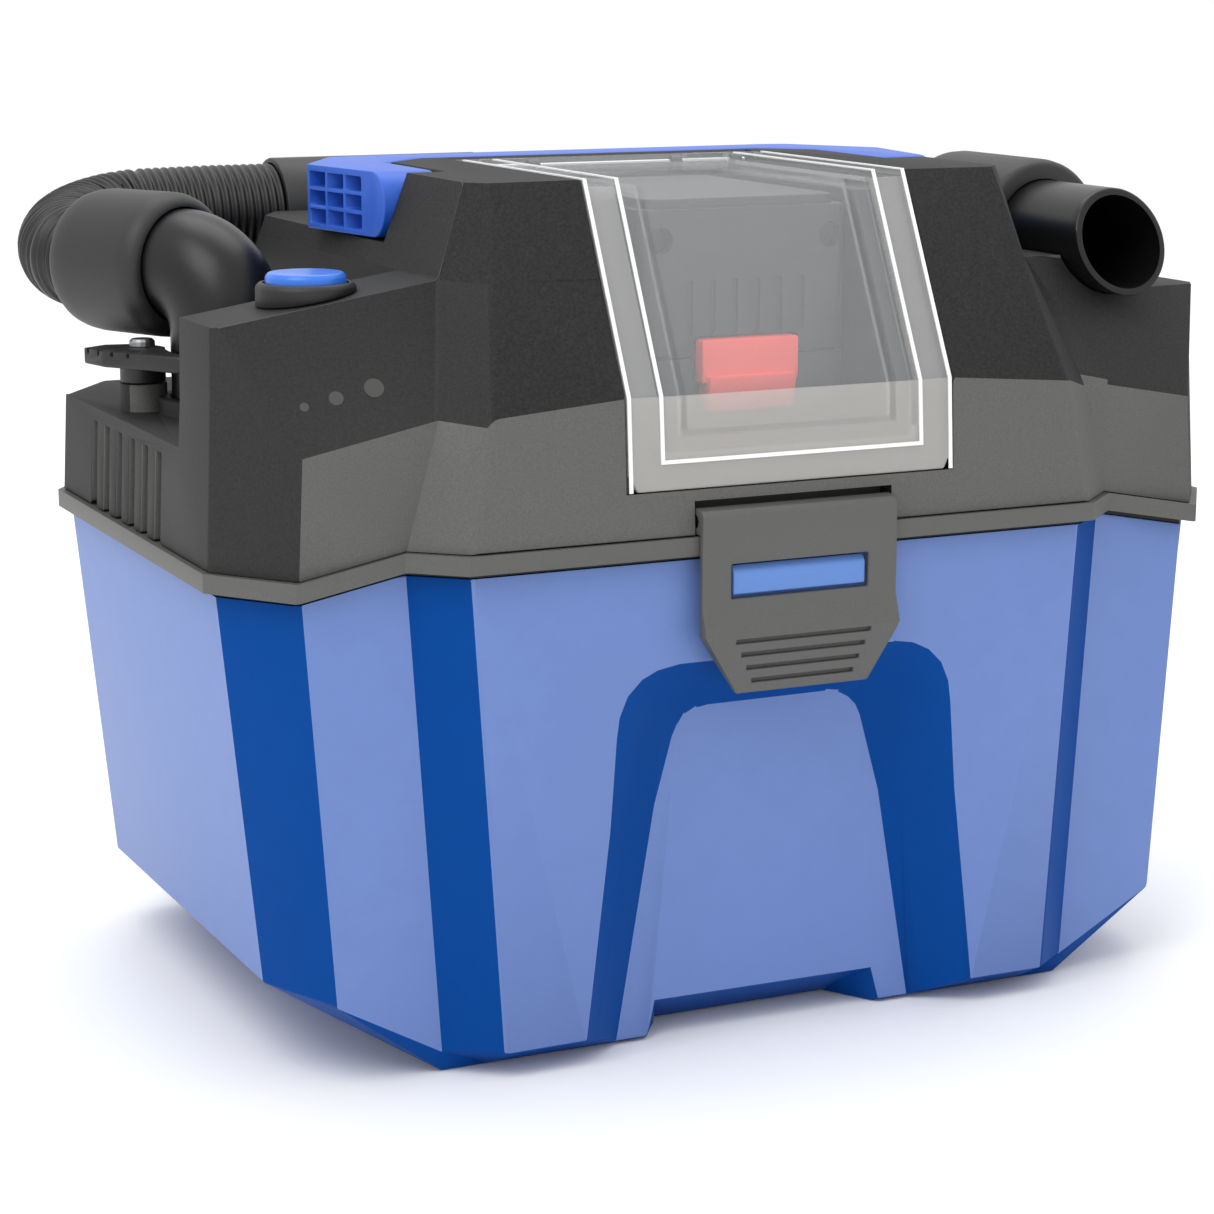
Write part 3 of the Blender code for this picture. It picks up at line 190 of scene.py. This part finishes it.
RUBBER = moulded("seal_rubber", "#151515", 0.75, 0.6, 0.4, 0.1)
FOAM = moulded("open_cell_foam", "#141415", 0.95, 0.9, 1.0, 0.4)
BOARD = moulded("circuit_board", "#1c5a33", 0.4, 3.0, 0.1, 0.1)
PAPER = moulded("filter_paper", "#cfc5ae", 0.9, 1.2, 0.3, 0.06)
STEEL = moulded("zinc_plated_steel", "#b9babd", 0.32, 2.0, 0.05, 0.04, Metallic=1.0)
PRINT = moulded("pad_printed_ink", "#3f3f3e", 0.7, 0.6, 0.1, 0.02)


def veiled(name, colour, cover, rough):
    """Clear polycarbonate with a white veil over part of what lies behind it."""
    made, tree, shader = paint(name, colour, rough, IOR=1.45)
    clear = node(tree, "ShaderNodeBsdfTransparent")
    mix = node(tree, "ShaderNodeMixShader", links={1: clear.outputs["BSDF"], 2: shader.outputs["BSDF"]},
               Fac=cover)
    out = tree.nodes["Material Output"]
    tree.links.new(mix.outputs["Shader"], out.inputs["Surface"])
    return made


# The door is one clear moulding: glossy and near clear over the pack, and frosted on its borders.
DOOR_PANE = veiled("door_polycarbonate_pane", "#dfe2e4", 0.13, 0.12)
DOOR_LOW = veiled("door_polycarbonate_veil", "#cccbc8", 0.4, 0.3)
DOOR_FROST = veiled("door_polycarbonate_frost", "#b4b4b2", 0.5, 0.35)
# White strips on the ribs stand for their bright lines: painted highlights.
DOOR_PAINTED_HIGHLIGHT = veiled("door_painted_highlight", "#ffffff", 0.75, 0.2)
print(len(bpy.data.materials), "finishes")

# %% [markdown]
# ## Soft edges on the mouldings
# Every moulding has small radii on its edges, which catch the light as thin bright lines. A copy of
# the CAD node is welded, its flat faces are joined up, and a Bevel rounds the corners. The copy then
# stands for the node.


# %% A rounded copy of a CAD node
WELD, FLAT_ANGLE = 2e-6, math.radians(1.2)


def copy_of(name):
    """The CAD node's mesh, welded and with its flat faces joined."""
    source = frame["nodes"][name]
    bm = bmesh.new()
    bm.from_mesh(source.data)
    bmesh.ops.remove_doubles(bm, verts=bm.verts, dist=WELD)
    bmesh.ops.dissolve_limit(bm, angle_limit=FLAT_ANGLE, verts=bm.verts, edges=bm.edges,
                             use_dissolve_boundaries=False)
    mesh = bpy.data.meshes.new("look_" + name)
    bm.to_mesh(mesh)
    bm.free()
    return mesh


def body_of(name):
    return next(body for body, nodes in frame["record"]["behaviour"]["bodies"].items() if name in nodes)


def place(obj, name, *others):
    """Makes a finished piece stand for a CAD node, and for any others."""
    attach(obj, body_of(name))
    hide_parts(name, *others)


# %% [markdown]
# ## A bevel that never tears
# One wide bevel is right for the long creases of a moulding and too wide for the short ones, where
# it would fold over itself. So each crease gets its own weight from the room beside it. The result is
# then searched for faces that cross and points that leave the surface, the weights near them are
# lowered, and the bevel is made again until nothing is torn.

# %% Bevel weights
ROOM_SHARE = 0.25           # of the nearest edge or face, for the bevel's width
NEAR_SHARE = 2.0            # a tear calms creases within this many widths
TRIES = 14
CALM_TO, LEAST_WEIGHT = 0.45, 0.06
SKIN_SHARE, SKIN_SLACK = 0.45, 0.05
MOST_PLACES = 4000
POCKET_HALF_W, POCKET_FROM_Y, POCKET_BELOW_Z = 40.0, 106.0, 178.0


def in_latch_pocket(at):
    """The pockets that the latches turn in keep their sharp corners, so that the latches stay clear."""
    return abs(at.x) < POCKET_HALF_W and abs(at.y) > POCKET_FROM_Y and at.z < POCKET_BELOW_Z


def weigh(mesh, width_mm, angle, crisp=None):
    """Bevel weights: a crease gets the full width where its neighbours leave room, and less elsewhere."""
    bm = bmesh.new()
    bm.from_mesh(mesh)
    layer = bm.edges.layers.float.new("bevel_weight_edge")
    room = ROOM_SHARE / (width_mm * MM)
    for edge in bm.edges:
        if crisp and crisp((edge.verts[0].co + edge.verts[1].co) / 2 / MM):
            continue
        if len(edge.link_faces) == 2 and edge.calc_face_angle() > math.radians(angle):
            near = [e.calc_length() for v in edge.verts for e in v.link_edges if e is not edge]
            across = [f.calc_area() / max(edge.calc_length(), 1e-6) for f in edge.link_faces]
            edge[layer] = min(1.0, room * min(near + across))
    bm.to_mesh(mesh)
    bm.free()


def torn_places(mesh, skin, reach):
    """Points where the bevelled mesh cuts through itself or leaves the skin of the sharp one."""
    bm = bmesh.new()
    bm.from_mesh(mesh)
    bmesh.ops.triangulate(bm, faces=bm.faces)
    bm.faces.ensure_lookup_table()
    tree = BVHTree.FromBMesh(bm)
    places = []
    for i, j in tree.overlap(tree):
        if i < j and not set(bm.faces[i].verts) & set(bm.faces[j].verts):
            places += [v.co.copy() for k in (i, j) for v in bm.faces[k].verts]
    for vert in bm.verts:
        if skin.find_nearest(vert.co)[3] > reach:
            places += [vert.co.copy()] + [e.other_vert(vert).co.copy() for e in vert.link_edges]
    bm.free()
    return places


def calm(mesh, places, near):
    """Lowers the bevel weight of the creases that run close to a torn place."""
    weights = mesh.attributes["bevel_weight_edge"].data
    for edge in mesh.edges:
        weight = weights[edge.index].value
        if weight > 0:
            a, b = (mesh.vertices[k].co for k in edge.vertices)
            along = b - a
            for place in places:
                t = min(1.0, max(0.0, (place - a).dot(along) / along.length_squared))
                if (a + along * t - place).length < near:
                    weights[edge.index].value = weight * CALM_TO if weight > LEAST_WEIGHT else 0.0
                    break


def rounded(name, width_mm, finish, segments=2, angle=28, choose=None, crisp=None):
    """A copy of the CAD node with rounded edges; choose gives a face's finish from its normal and centre."""
    mesh = copy_of(name)
    finishes = finish if isinstance(finish, (list, tuple)) else [finish]
    for item in finishes:
        mesh.materials.append(item)
    if choose:
        for face in mesh.polygons:
            face.material_index = choose(face.normal, face.center / MM)
    for face in mesh.polygons:
        face.use_smooth = True
    weigh(mesh, width_mm, angle, crisp)
    sharp = bmesh.new()
    sharp.from_mesh(mesh)
    skin = BVHTree.FromBMesh(sharp)
    sharp.free()
    obj = bpy.data.objects.new("look_" + name, mesh)
    scene.collection.objects.link(obj)
    edges = obj.modifiers.new("edges", "BEVEL")
    edges.width = width_mm * MM
    edges.segments = segments
    edges.limit_method = "WEIGHT"
    edges.use_clamp_overlap = False
    for _ in range(TRIES):
        mesh.update()
        obj.update_tag()
        bpy.context.view_layer.update()
        made = bpy.data.meshes.new_from_object(obj.evaluated_get(bpy.context.evaluated_depsgraph_get()))
        places = torn_places(made, skin, (SKIN_SHARE * width_mm + SKIN_SLACK) * MM)
        if not places:
            break
        calm(mesh, places[:MOST_PLACES], NEAR_SHARE * width_mm * MM)
    obj.modifiers.clear()
    obj.data = made
    made.set_sharp_from_angle(angle=math.radians(angle))
    place(obj, name)
    print(name, len(made.polygons), "faces,", len(places), "torn places left")
    return obj


# %% [markdown]
# ## Which face gets which finish
# The tank's broad panels are painted pale, a painted reflection, and its bevels deep blue, in one moulding.
# The head is grained more coarsely on its sloping top than on its skirt, and the skirt's front and back
# faces are painted lighter as painted light. A face's direction and place say which it is.

# %% Tank
CATCH_Z, CATCH_HALF_W, CATCH_Y = (142.0, 154.6), 23.5, 116.5
PANEL_HALF_W, FOOT_BEVEL_Z = 72.0, 32.0
UNDERCUT, SQUARE_ON, NEARLY_FLAT, LIE_DOWN = -0.15, 0.985, 0.93, 0.3


def tank_face(normal, at):
    """0 square-on panel, painted paler as a painted reflection; 1 bevel; 2 catch."""
    if CATCH_Z[0] < at.z < CATCH_Z[1] and abs(at.x) < CATCH_HALF_W and abs(at.y) > CATCH_Y:
        return 2
    if at.z < FOOT_BEVEL_Z and normal.z < UNDERCUT:
        return 1
    if abs(at.x) < PANEL_HALF_W and abs(normal.x) < 0.5:
        return 0 if abs(normal.y) > SQUARE_ON else 1
    flat = max(abs(normal.x), abs(normal.y))
    return 0 if flat > NEARLY_FLAT and normal.z < LIE_DOWN else 1


# The square-on panels take the paler blue, a painted reflection; the other faces keep the deep blue.
rounded("tank", 2.4, [TANK_PANEL_PAINTED_REFLECTION, TANK_EDGE, CATCH_BLUE], 3, choose=tank_face)

# %% Head
SKIRT_FACING, SKIRT_RISE = 0.6, 0.2
TOP_HALF_W, TOP_FROM_Z = 100.0, 200.0


def head_face(normal, at):
    """0 coarse upper, 1 front and back faces of the skirt, painted lighter as painted light, 2 sides."""
    if abs(normal.y) > SKIRT_FACING and normal.z < SKIRT_RISE:
        return 1
    if abs(at.x) < TOP_HALF_W and at.z > TOP_FROM_Z:
        return 0
    return 2


rounded("head_shell", 2.4, [HEAD_UPPER, HEAD_SKIRT_PAINTED_LIGHT, HEAD_SIDE], 3, choose=head_face, crisp=in_latch_pocket)
rounded("head_base", 1.2, FLANGE)

# %% Latches, handle and controls
rounded("front_latch", 0.7, LATCH_GREY)
rounded("rear_latch", 0.7, LATCH_GREY)
rounded("carry_handle", 1.4, HANDLE_BLUE, 3)
rounded("power_button", 0.6, BUTTON_BLUE, 3)
rounded("button_collar", 0.5, TRIM_BLACK)
rounded("lock_lever", 0.8, TRIM_BLACK)
rounded("battery_case", 0.8, PACK_BLACK)
rounded("battery_cover", 1.2, PACK_BLACK)
rounded("battery_button", 0.9, PACK_RED, 3)
rounded("battery_bay", 0.4, TRIM_BLACK)

# %% [markdown]
# ## The battery door
# A clear polycarbonate moulding: nearly clear in front of the pack, veiled by scattered light lower
# down, and textured on its border. Mixing a transparent shader with a pale one is enough, and renders
# faster than true refraction through two walls. The highlights on its ribs are painted as narrow white
# strips that stay on its surface.

# %% Battery door
BORDER_X, VEIL_Z, DOOR_LIP_Z = 44.0, 207.5, 183.5


def door_face(normal, at):
    """0 pane, 1 veiled lower part, 2 frosted border."""
    if abs(at.x) > BORDER_X or at.z < DOOR_LIP_Z:
        return 2
    return 1 if at.z < VEIL_Z else 0


rounded("battery_door", 0.6, [DOOR_PANE, DOOR_LOW, DOOR_FROST], choose=door_face)

# %% Painted highlights on the door's ribs
# The moulding's inner frame and its rim catch the light as narrow bright lines, painted here as white
# strips: painted highlights.
DOOR_LINE = [(-118.0, 178.4), (-116.2, 206.6), (-84.6, 269.0), (10.0, 269.0)]
RIB_W, RIB_UP, RIB_DOWN = 1.2, 0.35, 0.15


def rib(name, xs, line):
    """A low white strip on the door's outside, a painted highlight, from x to x, along a line of (y, z)."""
    bm = bmesh.new()
    rings = []
    for k, (y, z) in enumerate(line):
        before, after = line[max(k - 1, 0)], line[min(k + 1, len(line) - 1)]
        dy, dz = after[0] - before[0], after[1] - before[1]
        size = math.hypot(dy, dz)
        ny, nz = -dz / size, dy / size
        rings.append([bm.verts.new(Vector((x, y + ny * up, z + nz * up)) * MM)
                      for x, up in ((xs[0], -RIB_DOWN), (xs[1], -RIB_DOWN), (xs[1], RIB_UP),
                                    (xs[0], RIB_UP))])
    for first, second in zip(rings, rings[1:]):
        for k in range(4):
            bm.faces.new((first[k], first[(k + 1) % 4], second[(k + 1) % 4], second[k]))
    bm.faces.new(rings[0])
    bm.faces.new(list(reversed(rings[-1])))
    bmesh.ops.recalc_face_normals(bm, faces=bm.faces)
    mesh = bpy.data.meshes.new(name)
    bm.to_mesh(mesh)
    bm.free()
    mesh.materials.append(DOOR_PAINTED_HIGHLIGHT)
    obj = bpy.data.objects.new(name, mesh)
    scene.collection.objects.link(obj)
    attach(obj, "battery_door")


LOW_RIB = [(-117.75, 186.4), (-117.68, 187.6)]
for side, name in ((-1, "left"), (1, "right")):
    for at, kind in ((BORDER_X, "inner"), (54.6, "rim")):
        line = DOOR_LINE if kind == "rim" else [LOW_RIB[0]] + DOOR_LINE[1:]
        rib(f"door_highlight_strip_{kind}_{name}", sorted((side * at, side * (at + RIB_W))), line)
rib("door_rib_low", (-BORDER_X, BORDER_X), LOW_RIB)
print("5 ribs")

# %% [markdown]
# ## The stretch hose
# A stretch hose is a thin wall blown into rings a couple of millimetres apart. The route is the CAD
# one. A Geometry Nodes tree sweeps a circle along it and swells the radius in a wave, so one
# modifier makes all the rings.

# %% Route of the hose
PORT = Vector((-135.0, 18.0, 0.0))
DIR = Vector((-0.447, 0.894, 0.0)).normalized()
RIGHT = Vector((DIR.y, -DIR.x, 0.0))
CUFF_S = (19.6, 61.0)
ELBOW_Z, REAR_Z, REAR_Y = 236.0, 245.0, 119.4
BEND_R, HOSE_R, HOSE_END_X = 32.0, 17.5, -12.0


def hose_route():
    """Centreline from inside the swivel cuff to inside the end cuff, in mm."""
    begin = PORT + DIR * (CUFF_S[0] + 19.6) + Vector((0, 0, ELBOW_Z))
    turn_at = PORT + DIR * (CUFF_S[1] + 1.6) + Vector((0, 0, ELBOW_Z))
    turn = math.pi / 2 + math.atan2(-DIR.x, DIR.y)
    centre = turn_at + RIGHT * BEND_R
    points = [begin, begin.lerp(turn_at, 0.5)]
    for k in range(15):
        t = turn * k / 14
        points.append(centre - RIGHT * BEND_R * math.cos(t) + DIR * BEND_R * math.sin(t))
    last = points[-1]
    points += [Vector((last.x + (HOSE_END_X - last.x) * k / 5, last.y, last.z)) for k in range(1, 6)]
    lengths = [0.0]
    for a, b in zip(points, points[1:]):
        lengths.append(lengths[-1] + (b - a).length)
    rise_from, rise_to = lengths[2], lengths[-6] + 10
    out = []
    for p, s in zip(points, lengths):
        k = min(1.0, max(0.0, (s - rise_from) / (rise_to - rise_from)))
        out.append(Vector((p.x, p.y + (REAR_Y - last.y) * k,
                           ELBOW_Z + (REAR_Z - ELBOW_Z) * k * k * (3 - 2 * k))))
    return out


# %% Rings along a line
def ring_tree():
    """Geometry Nodes: a line becomes a tube whose radius swells in rings."""
    tree = bpy.data.node_groups.new("hose_rings", "GeometryNodeTree")
    tree.interface.new_socket("Line", in_out="INPUT", socket_type="NodeSocketGeometry")
    for label in ("Radius", "Depth", "Pitch"):
        tree.interface.new_socket(label, in_out="INPUT", socket_type="NodeSocketFloat")
    tree.interface.new_socket("Tube", in_out="OUTPUT", socket_type="NodeSocketGeometry")
    inside, outside = tree.nodes.new("NodeGroupInput"), tree.nodes.new("NodeGroupOutput")
    step = node(tree, "ShaderNodeMath", {"operation": "DIVIDE"}, {0: inside.outputs["Pitch"]})
    step.inputs[1].default_value = 6.0
    fine = node(tree, "GeometryNodeResampleCurve", {"mode": "LENGTH"},
                {"Curve": inside.outputs["Line"], "Length": step.outputs[0]})
    along = node(tree, "GeometryNodeSplineParameter")
    turns = node(tree, "ShaderNodeMath", {"operation": "DIVIDE"},
                 {0: along.outputs["Length"], 1: inside.outputs["Pitch"]})
    angle = node(tree, "ShaderNodeMath", {"operation": "MULTIPLY"}, {0: turns.outputs[0]})
    angle.inputs[1].default_value = 2 * math.pi
    wave = node(tree, "ShaderNodeMath", {"operation": "SINE"}, {0: angle.outputs[0]})
    swell = node(tree, "ShaderNodeMath", {"operation": "MULTIPLY_ADD"},
                 {0: wave.outputs[0], 1: inside.outputs["Depth"], 2: inside.outputs["Radius"]})
    sized = node(tree, "GeometryNodeSetCurveRadius",
                 links={"Curve": fine.outputs["Curve"], "Radius": swell.outputs[0]})
    circle = node(tree, "GeometryNodeCurvePrimitiveCircle", Resolution=56, Radius=1.0)
    tube = node(tree, "GeometryNodeCurveToMesh",
                links={"Curve": sized.outputs["Curve"], "Profile Curve": circle.outputs["Curve"],
                                                        "Scale": swell.outputs[0]})
    tube.inputs["Fill Caps"].default_value = True
    real = node(tree, "GeometryNodeRealizeInstances", links={"Geometry": tube.outputs["Mesh"]})
    smooth = node(tree, "GeometryNodeSetShadeSmooth", links={"Geometry": real.outputs["Geometry"]})
    finish = node(tree, "GeometryNodeSetMaterial", links={"Geometry": smooth.outputs["Geometry"]})
    finish.inputs["Material"].default_value = HOSE_BLACK
    tree.links.new(finish.outputs["Geometry"], outside.inputs["Tube"])
    return tree


def line_object(name, points):
    data = bpy.data.curves.new(name, "CURVE")
    data.dimensions = "3D"
    spline = data.splines.new("POLY")
    spline.points.add(len(points) - 1)
    for point, co in zip(spline.points, points):
        point.co = (*(co * MM), 1.0)
    obj = bpy.data.objects.new(name, data)
    scene.collection.objects.link(obj)
    return obj


def baked(obj, name):
    """The object's evaluated geometry as a plain mesh object; the original is removed."""
    bpy.context.view_layer.update()
    mesh = bpy.data.meshes.new_from_object(obj.evaluated_get(bpy.context.evaluated_depsgraph_get()))
    bpy.data.objects.remove(obj, do_unlink=True)
    made = bpy.data.objects.new(name, mesh)
    scene.collection.objects.link(made)
    return made


def set_inputs(modifier, **values):
    for item in modifier.node_group.interface.items_tree:
        if item.item_type == "SOCKET" and item.in_out == "INPUT" and item.name in values:
            modifier[item.identifier] = values[item.name]


route = hose_route()
hose_line = line_object("hose_line", route)
rings = hose_line.modifiers.new("rings", "NODES")
rings.node_group = ring_tree()
set_inputs(rings, Radius=(HOSE_R - 0.7) * MM, Depth=0.7 * MM, Pitch=2.9 * MM)
hose = baked(hose_line, "look_hose")
place(hose, "hose")

# %% [markdown]
# ## Elbow, cuffs and tubes
# Turned and swept mouldings are made again as round pieces: a profile of distance and radius is swept
# along a line of points. The swivel cuff swells behind its shoulder, and the elbow sits in it.


# %% A round moulding along a line
def swept(name, line, profile, finish, side, sides=72, reshape=None):
    """Closed round piece along a line; profile is (distance along it, radius), right round the section."""
    lengths = [0.0]
    for a, b in zip(line, line[1:]):
        lengths.append(lengths[-1] + (b - a).length)
    last = len(line) - 1
    headings = [(line[min(k + 1, last)] - line[max(k - 1, 0)]).normalized() for k in range(last + 1)]
    bm = bmesh.new()
    rings = []
    for along, radius in profile:
        k = max([i for i in range(last) if lengths[i] <= along + 1e-6])
        t = (along - lengths[k]) / (lengths[k + 1] - lengths[k])
        heading = headings[k].lerp(headings[k + 1], t).normalized()
        across = (side - heading * side.dot(heading)).normalized()
        other = heading.cross(across)
        centre = line[k].lerp(line[k + 1], t)
        rings.append([centre + radius * (math.cos(2 * math.pi * i / sides) * across
                                         + math.sin(2 * math.pi * i / sides) * other)
                      for i in range(sides)])
    verts = [[bm.verts.new((reshape(co) if reshape else co) * MM) for co in ring] for ring in rings]
    for first, second in zip(verts, verts[1:] + verts[:1]):
        for i in range(sides):
            bm.faces.new((first[i], first[(i + 1) % sides], second[(i + 1) % sides], second[i]))
    bmesh.ops.recalc_face_normals(bm, faces=bm.faces)
    mesh = bpy.data.meshes.new("look_" + name)
    bm.to_mesh(mesh)
    bm.free()
    mesh.materials.append(finish)
    for face in mesh.polygons:
        face.use_smooth = True
    mesh.set_sharp_from_angle(angle=math.radians(40))
    obj = bpy.data.objects.new("look_" + name, mesh)
    scene.collection.objects.link(obj)
    place(obj, name)
    print(name, len(mesh.polygons), "faces")
    return obj


LIP = 0.8


def tube_profile(length, outer, inner, steps=30):
    """Outer wall from start to end with small lips, then back along the bore."""
    walk = [(0.0, outer - LIP), (LIP * 0.3, outer - LIP * 0.3)]
    walk += [(LIP + (length - 2 * LIP) * k / steps, outer) for k in range(steps + 1)]
    walk += [(length - LIP * 0.3, outer - LIP * 0.3), (length, outer - LIP)]
    return walk + [(length * (1 - k / steps), inner) for k in range(steps + 1)]


def line_length(line):
    return sum((b - a).length for a, b in zip(line, line[1:]))


# %% Elbow and swivel cuff
ELBOW_R, ELBOW_BEND, ELBOW_WALL, ELBOW_FOOT_Z = 18.6, 19.4, 3.0, 172.0
UP = Vector((0, 0, 1))
elbow_line = [PORT + UP * ELBOW_FOOT_Z, PORT + UP * (ELBOW_Z - ELBOW_BEND - 6.0)]
for k in range(13):
    t = math.radians(90 * k / 12)
    elbow_line.append(PORT + DIR * ELBOW_BEND * (1 - math.cos(t))
                      + UP * (ELBOW_Z - ELBOW_BEND * (1 - math.sin(t))))
elbow_line.append(PORT + DIR * (CUFF_S[0] + 17.0) + UP * ELBOW_Z)
swept("hose_elbow", elbow_line, tube_profile(line_length(elbow_line), ELBOW_R, ELBOW_R - ELBOW_WALL, 60),
      TUBE_BLACK,
      RIGHT)

CUFF_LONG = CUFF_S[1] - CUFF_S[0]
cuff_line = [PORT + DIR * CUFF_S[0] + UP * ELBOW_Z, PORT + DIR * CUFF_S[1] + UP * ELBOW_Z]
cuff_profile = [(0.0, 19.9), (0.5, 21.0), (1.6, 22.1), (3.2, 23.0), (5.4, 23.6), (8.0, 23.7),
                (CUFF_LONG - 9.0, 23.6),
                (CUFF_LONG - 5.0, 23.2), (CUFF_LONG - 2.2, 22.5), (CUFF_LONG - 0.6, 21.6),
                (CUFF_LONG, 20.7),
                (CUFF_LONG, 18.0), (19.0, 18.0), (18.0, 19.2), (0.0, 19.2)]
swept("hose_cuff", cuff_line, cuff_profile, CUFF_BLACK, UP)

# %% End cuff, wand and nozzle
END_CUFF_X, END_CUFF_LONG, END_CUFF_R = -85.0, 79.0, 19.4
end_line = [Vector((END_CUFF_X, REAR_Y, REAR_Z)), Vector((END_CUFF_X + END_CUFF_LONG, REAR_Y, REAR_Z))]
swept("hose_end_cuff", end_line, tube_profile(END_CUFF_LONG, END_CUFF_R, HOSE_R + 0.3, 4), CUFF_BLACK, UP)

WAND_X, WAND_Z, WAND_BEND, TUBE_R = 134.0, 243.7, 32.0, 17.0
wand_line = [Vector((HOSE_END_X + 1.0, REAR_Y, REAR_Z)),
             Vector((WAND_X - WAND_BEND - 12.0, REAR_Y, REAR_Z))]
for k in range(17):
    t = math.radians(90 * k / 16)
    wand_line.append(Vector((WAND_X - WAND_BEND * (1 - math.sin(t)), REAR_Y - WAND_BEND * (1 - math.cos(t)),
                             REAR_Z + (WAND_Z - REAR_Z) * k / 16)))
wand_line.append(Vector((WAND_X, 4.0, WAND_Z)))
swept("wand_handle", wand_line, tube_profile(line_length(wand_line), TUBE_R, TUBE_R - 2.4, 80),
      TUBE_BLACK, UP)

collar_line = [Vector((WAND_X, -45.0, WAND_Z)), Vector((WAND_X, 15.0, WAND_Z))]
collar_profile = [(0.0, 20.9), (0.5, 22.0), (1.5, 22.9), (3.0, 23.5), (5.5, 23.8), (52.0, 23.8),
                  (56.0, 23.4),
                  (58.6, 22.5), (60.0, 21.2), (60.0, 17.4), (0.0, 17.4)]
swept("wand_collar", collar_line, collar_profile, CUFF_BLACK, UP)

TUBE_FROM_Y, TUBE_LONG, MITRE_AT, MITRE_SLOPE = 3.0, 106.0, 99.0 - 18.0 * 22.5 / 58.0, 22.5 / 58.0


def mitred(co):
    """Stretches the tube along its length so that its mouth lies on the slanted plane."""
    reach = TUBE_FROM_Y + MITRE_AT - (co.z - WAND_Z) * MITRE_SLOPE
    return Vector((co.x, TUBE_FROM_Y + (co.y - TUBE_FROM_Y) * reach / TUBE_LONG, co.z))


nozzle_line = [Vector((WAND_X, TUBE_FROM_Y, WAND_Z)), Vector((WAND_X, TUBE_FROM_Y - TUBE_LONG, WAND_Z))]
swept("nozzle_tube", nozzle_line, tube_profile(TUBE_LONG, TUBE_R, TUBE_R - 2.2), TUBE_BLACK, UP,
      reshape=mitred)

# %% [markdown]
# ## Marks beside the lever
# The lobe has a small scale by its lever. Plain dots that grow stand for it, as thin printed patches
# that lie on the slope.

# %% Marks beside the lever
# Three plain printed dots of growing size stand for the scale beside the thumb lever.
LOBE_CORNERS = [Vector((-112.0, -104.8, 202.0)), Vector((-153.5, -105.0, 193.7)),
                Vector((-102.0, -82.4, 240.6))]


def mark(name, corners, lift=0.15, thick=0.05):
    """A thin printed patch lying on the left lobe's sloped face; corners are (across, up) in mm."""
    at, right_to, up_to = LOBE_CORNERS
    across = (at - right_to).normalized()
    out = across.cross(up_to - at).normalized()
    if out.y > 0:
        out = -out
    up = out.cross(across).normalized()
    if up.z < 0:
        up = -up
    bm = bmesh.new()
    low = [bm.verts.new((at + across * u + up * v + out * (lift - thick)) * MM) for u, v in corners]
    top = [bm.verts.new((at + across * u + up * v + out * lift) * MM) for u, v in corners]
    bm.faces.new(top)
    bm.faces.new(list(reversed(low)))
    for i in range(len(corners)):
        j = (i + 1) % len(corners)
        bm.faces.new((low[i], low[j], top[j], top[i]))
    bmesh.ops.recalc_face_normals(bm, faces=bm.faces)
    mesh = bpy.data.meshes.new(name)
    bm.to_mesh(mesh)
    bm.free()
    mesh.materials.append(PRINT)
    obj = bpy.data.objects.new(name, mesh)
    scene.collection.objects.link(obj)
    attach(obj, body_of("head_shell"))


DOT_STEPS = 28
for k, (u, radius) in enumerate(((-36.0, 1.4), (-26.0, 2.2), (-14.0, 3.0))):
    turns = [2 * math.pi * step / DOT_STEPS for step in range(DOT_STEPS)]
    mark(f"scale_dot_{k + 1}", [(u + radius * math.cos(t), 15.0 + radius * math.sin(t)) for t in turns])
print("3 dots")

# %% [markdown]
# ## The other CAD pieces
# Nodes whose shape is right keep it and only get their finish.

# %% Finishes on the nodes that stay
FINISH = {"tank_gasket": RUBBER, "exhaust_foam": FOAM, "control_board": BOARD, "filter_sleeve": PAPER,
          "motor_can": STEEL,
          "motor_shaft": STEEL, "fan_cover": FLANGE, "motor_housing": FLANGE}
for name, obj in frame["nodes"].items():
    if obj.hide_render:
        continue
    steel = "pin" in name or "screw" in name
    finish = STEEL if steel else FINISH.get(name, TRIM_BLACK)
    obj.data.materials.clear()
    obj.data.materials.append(finish)
    print(name, finish.name)
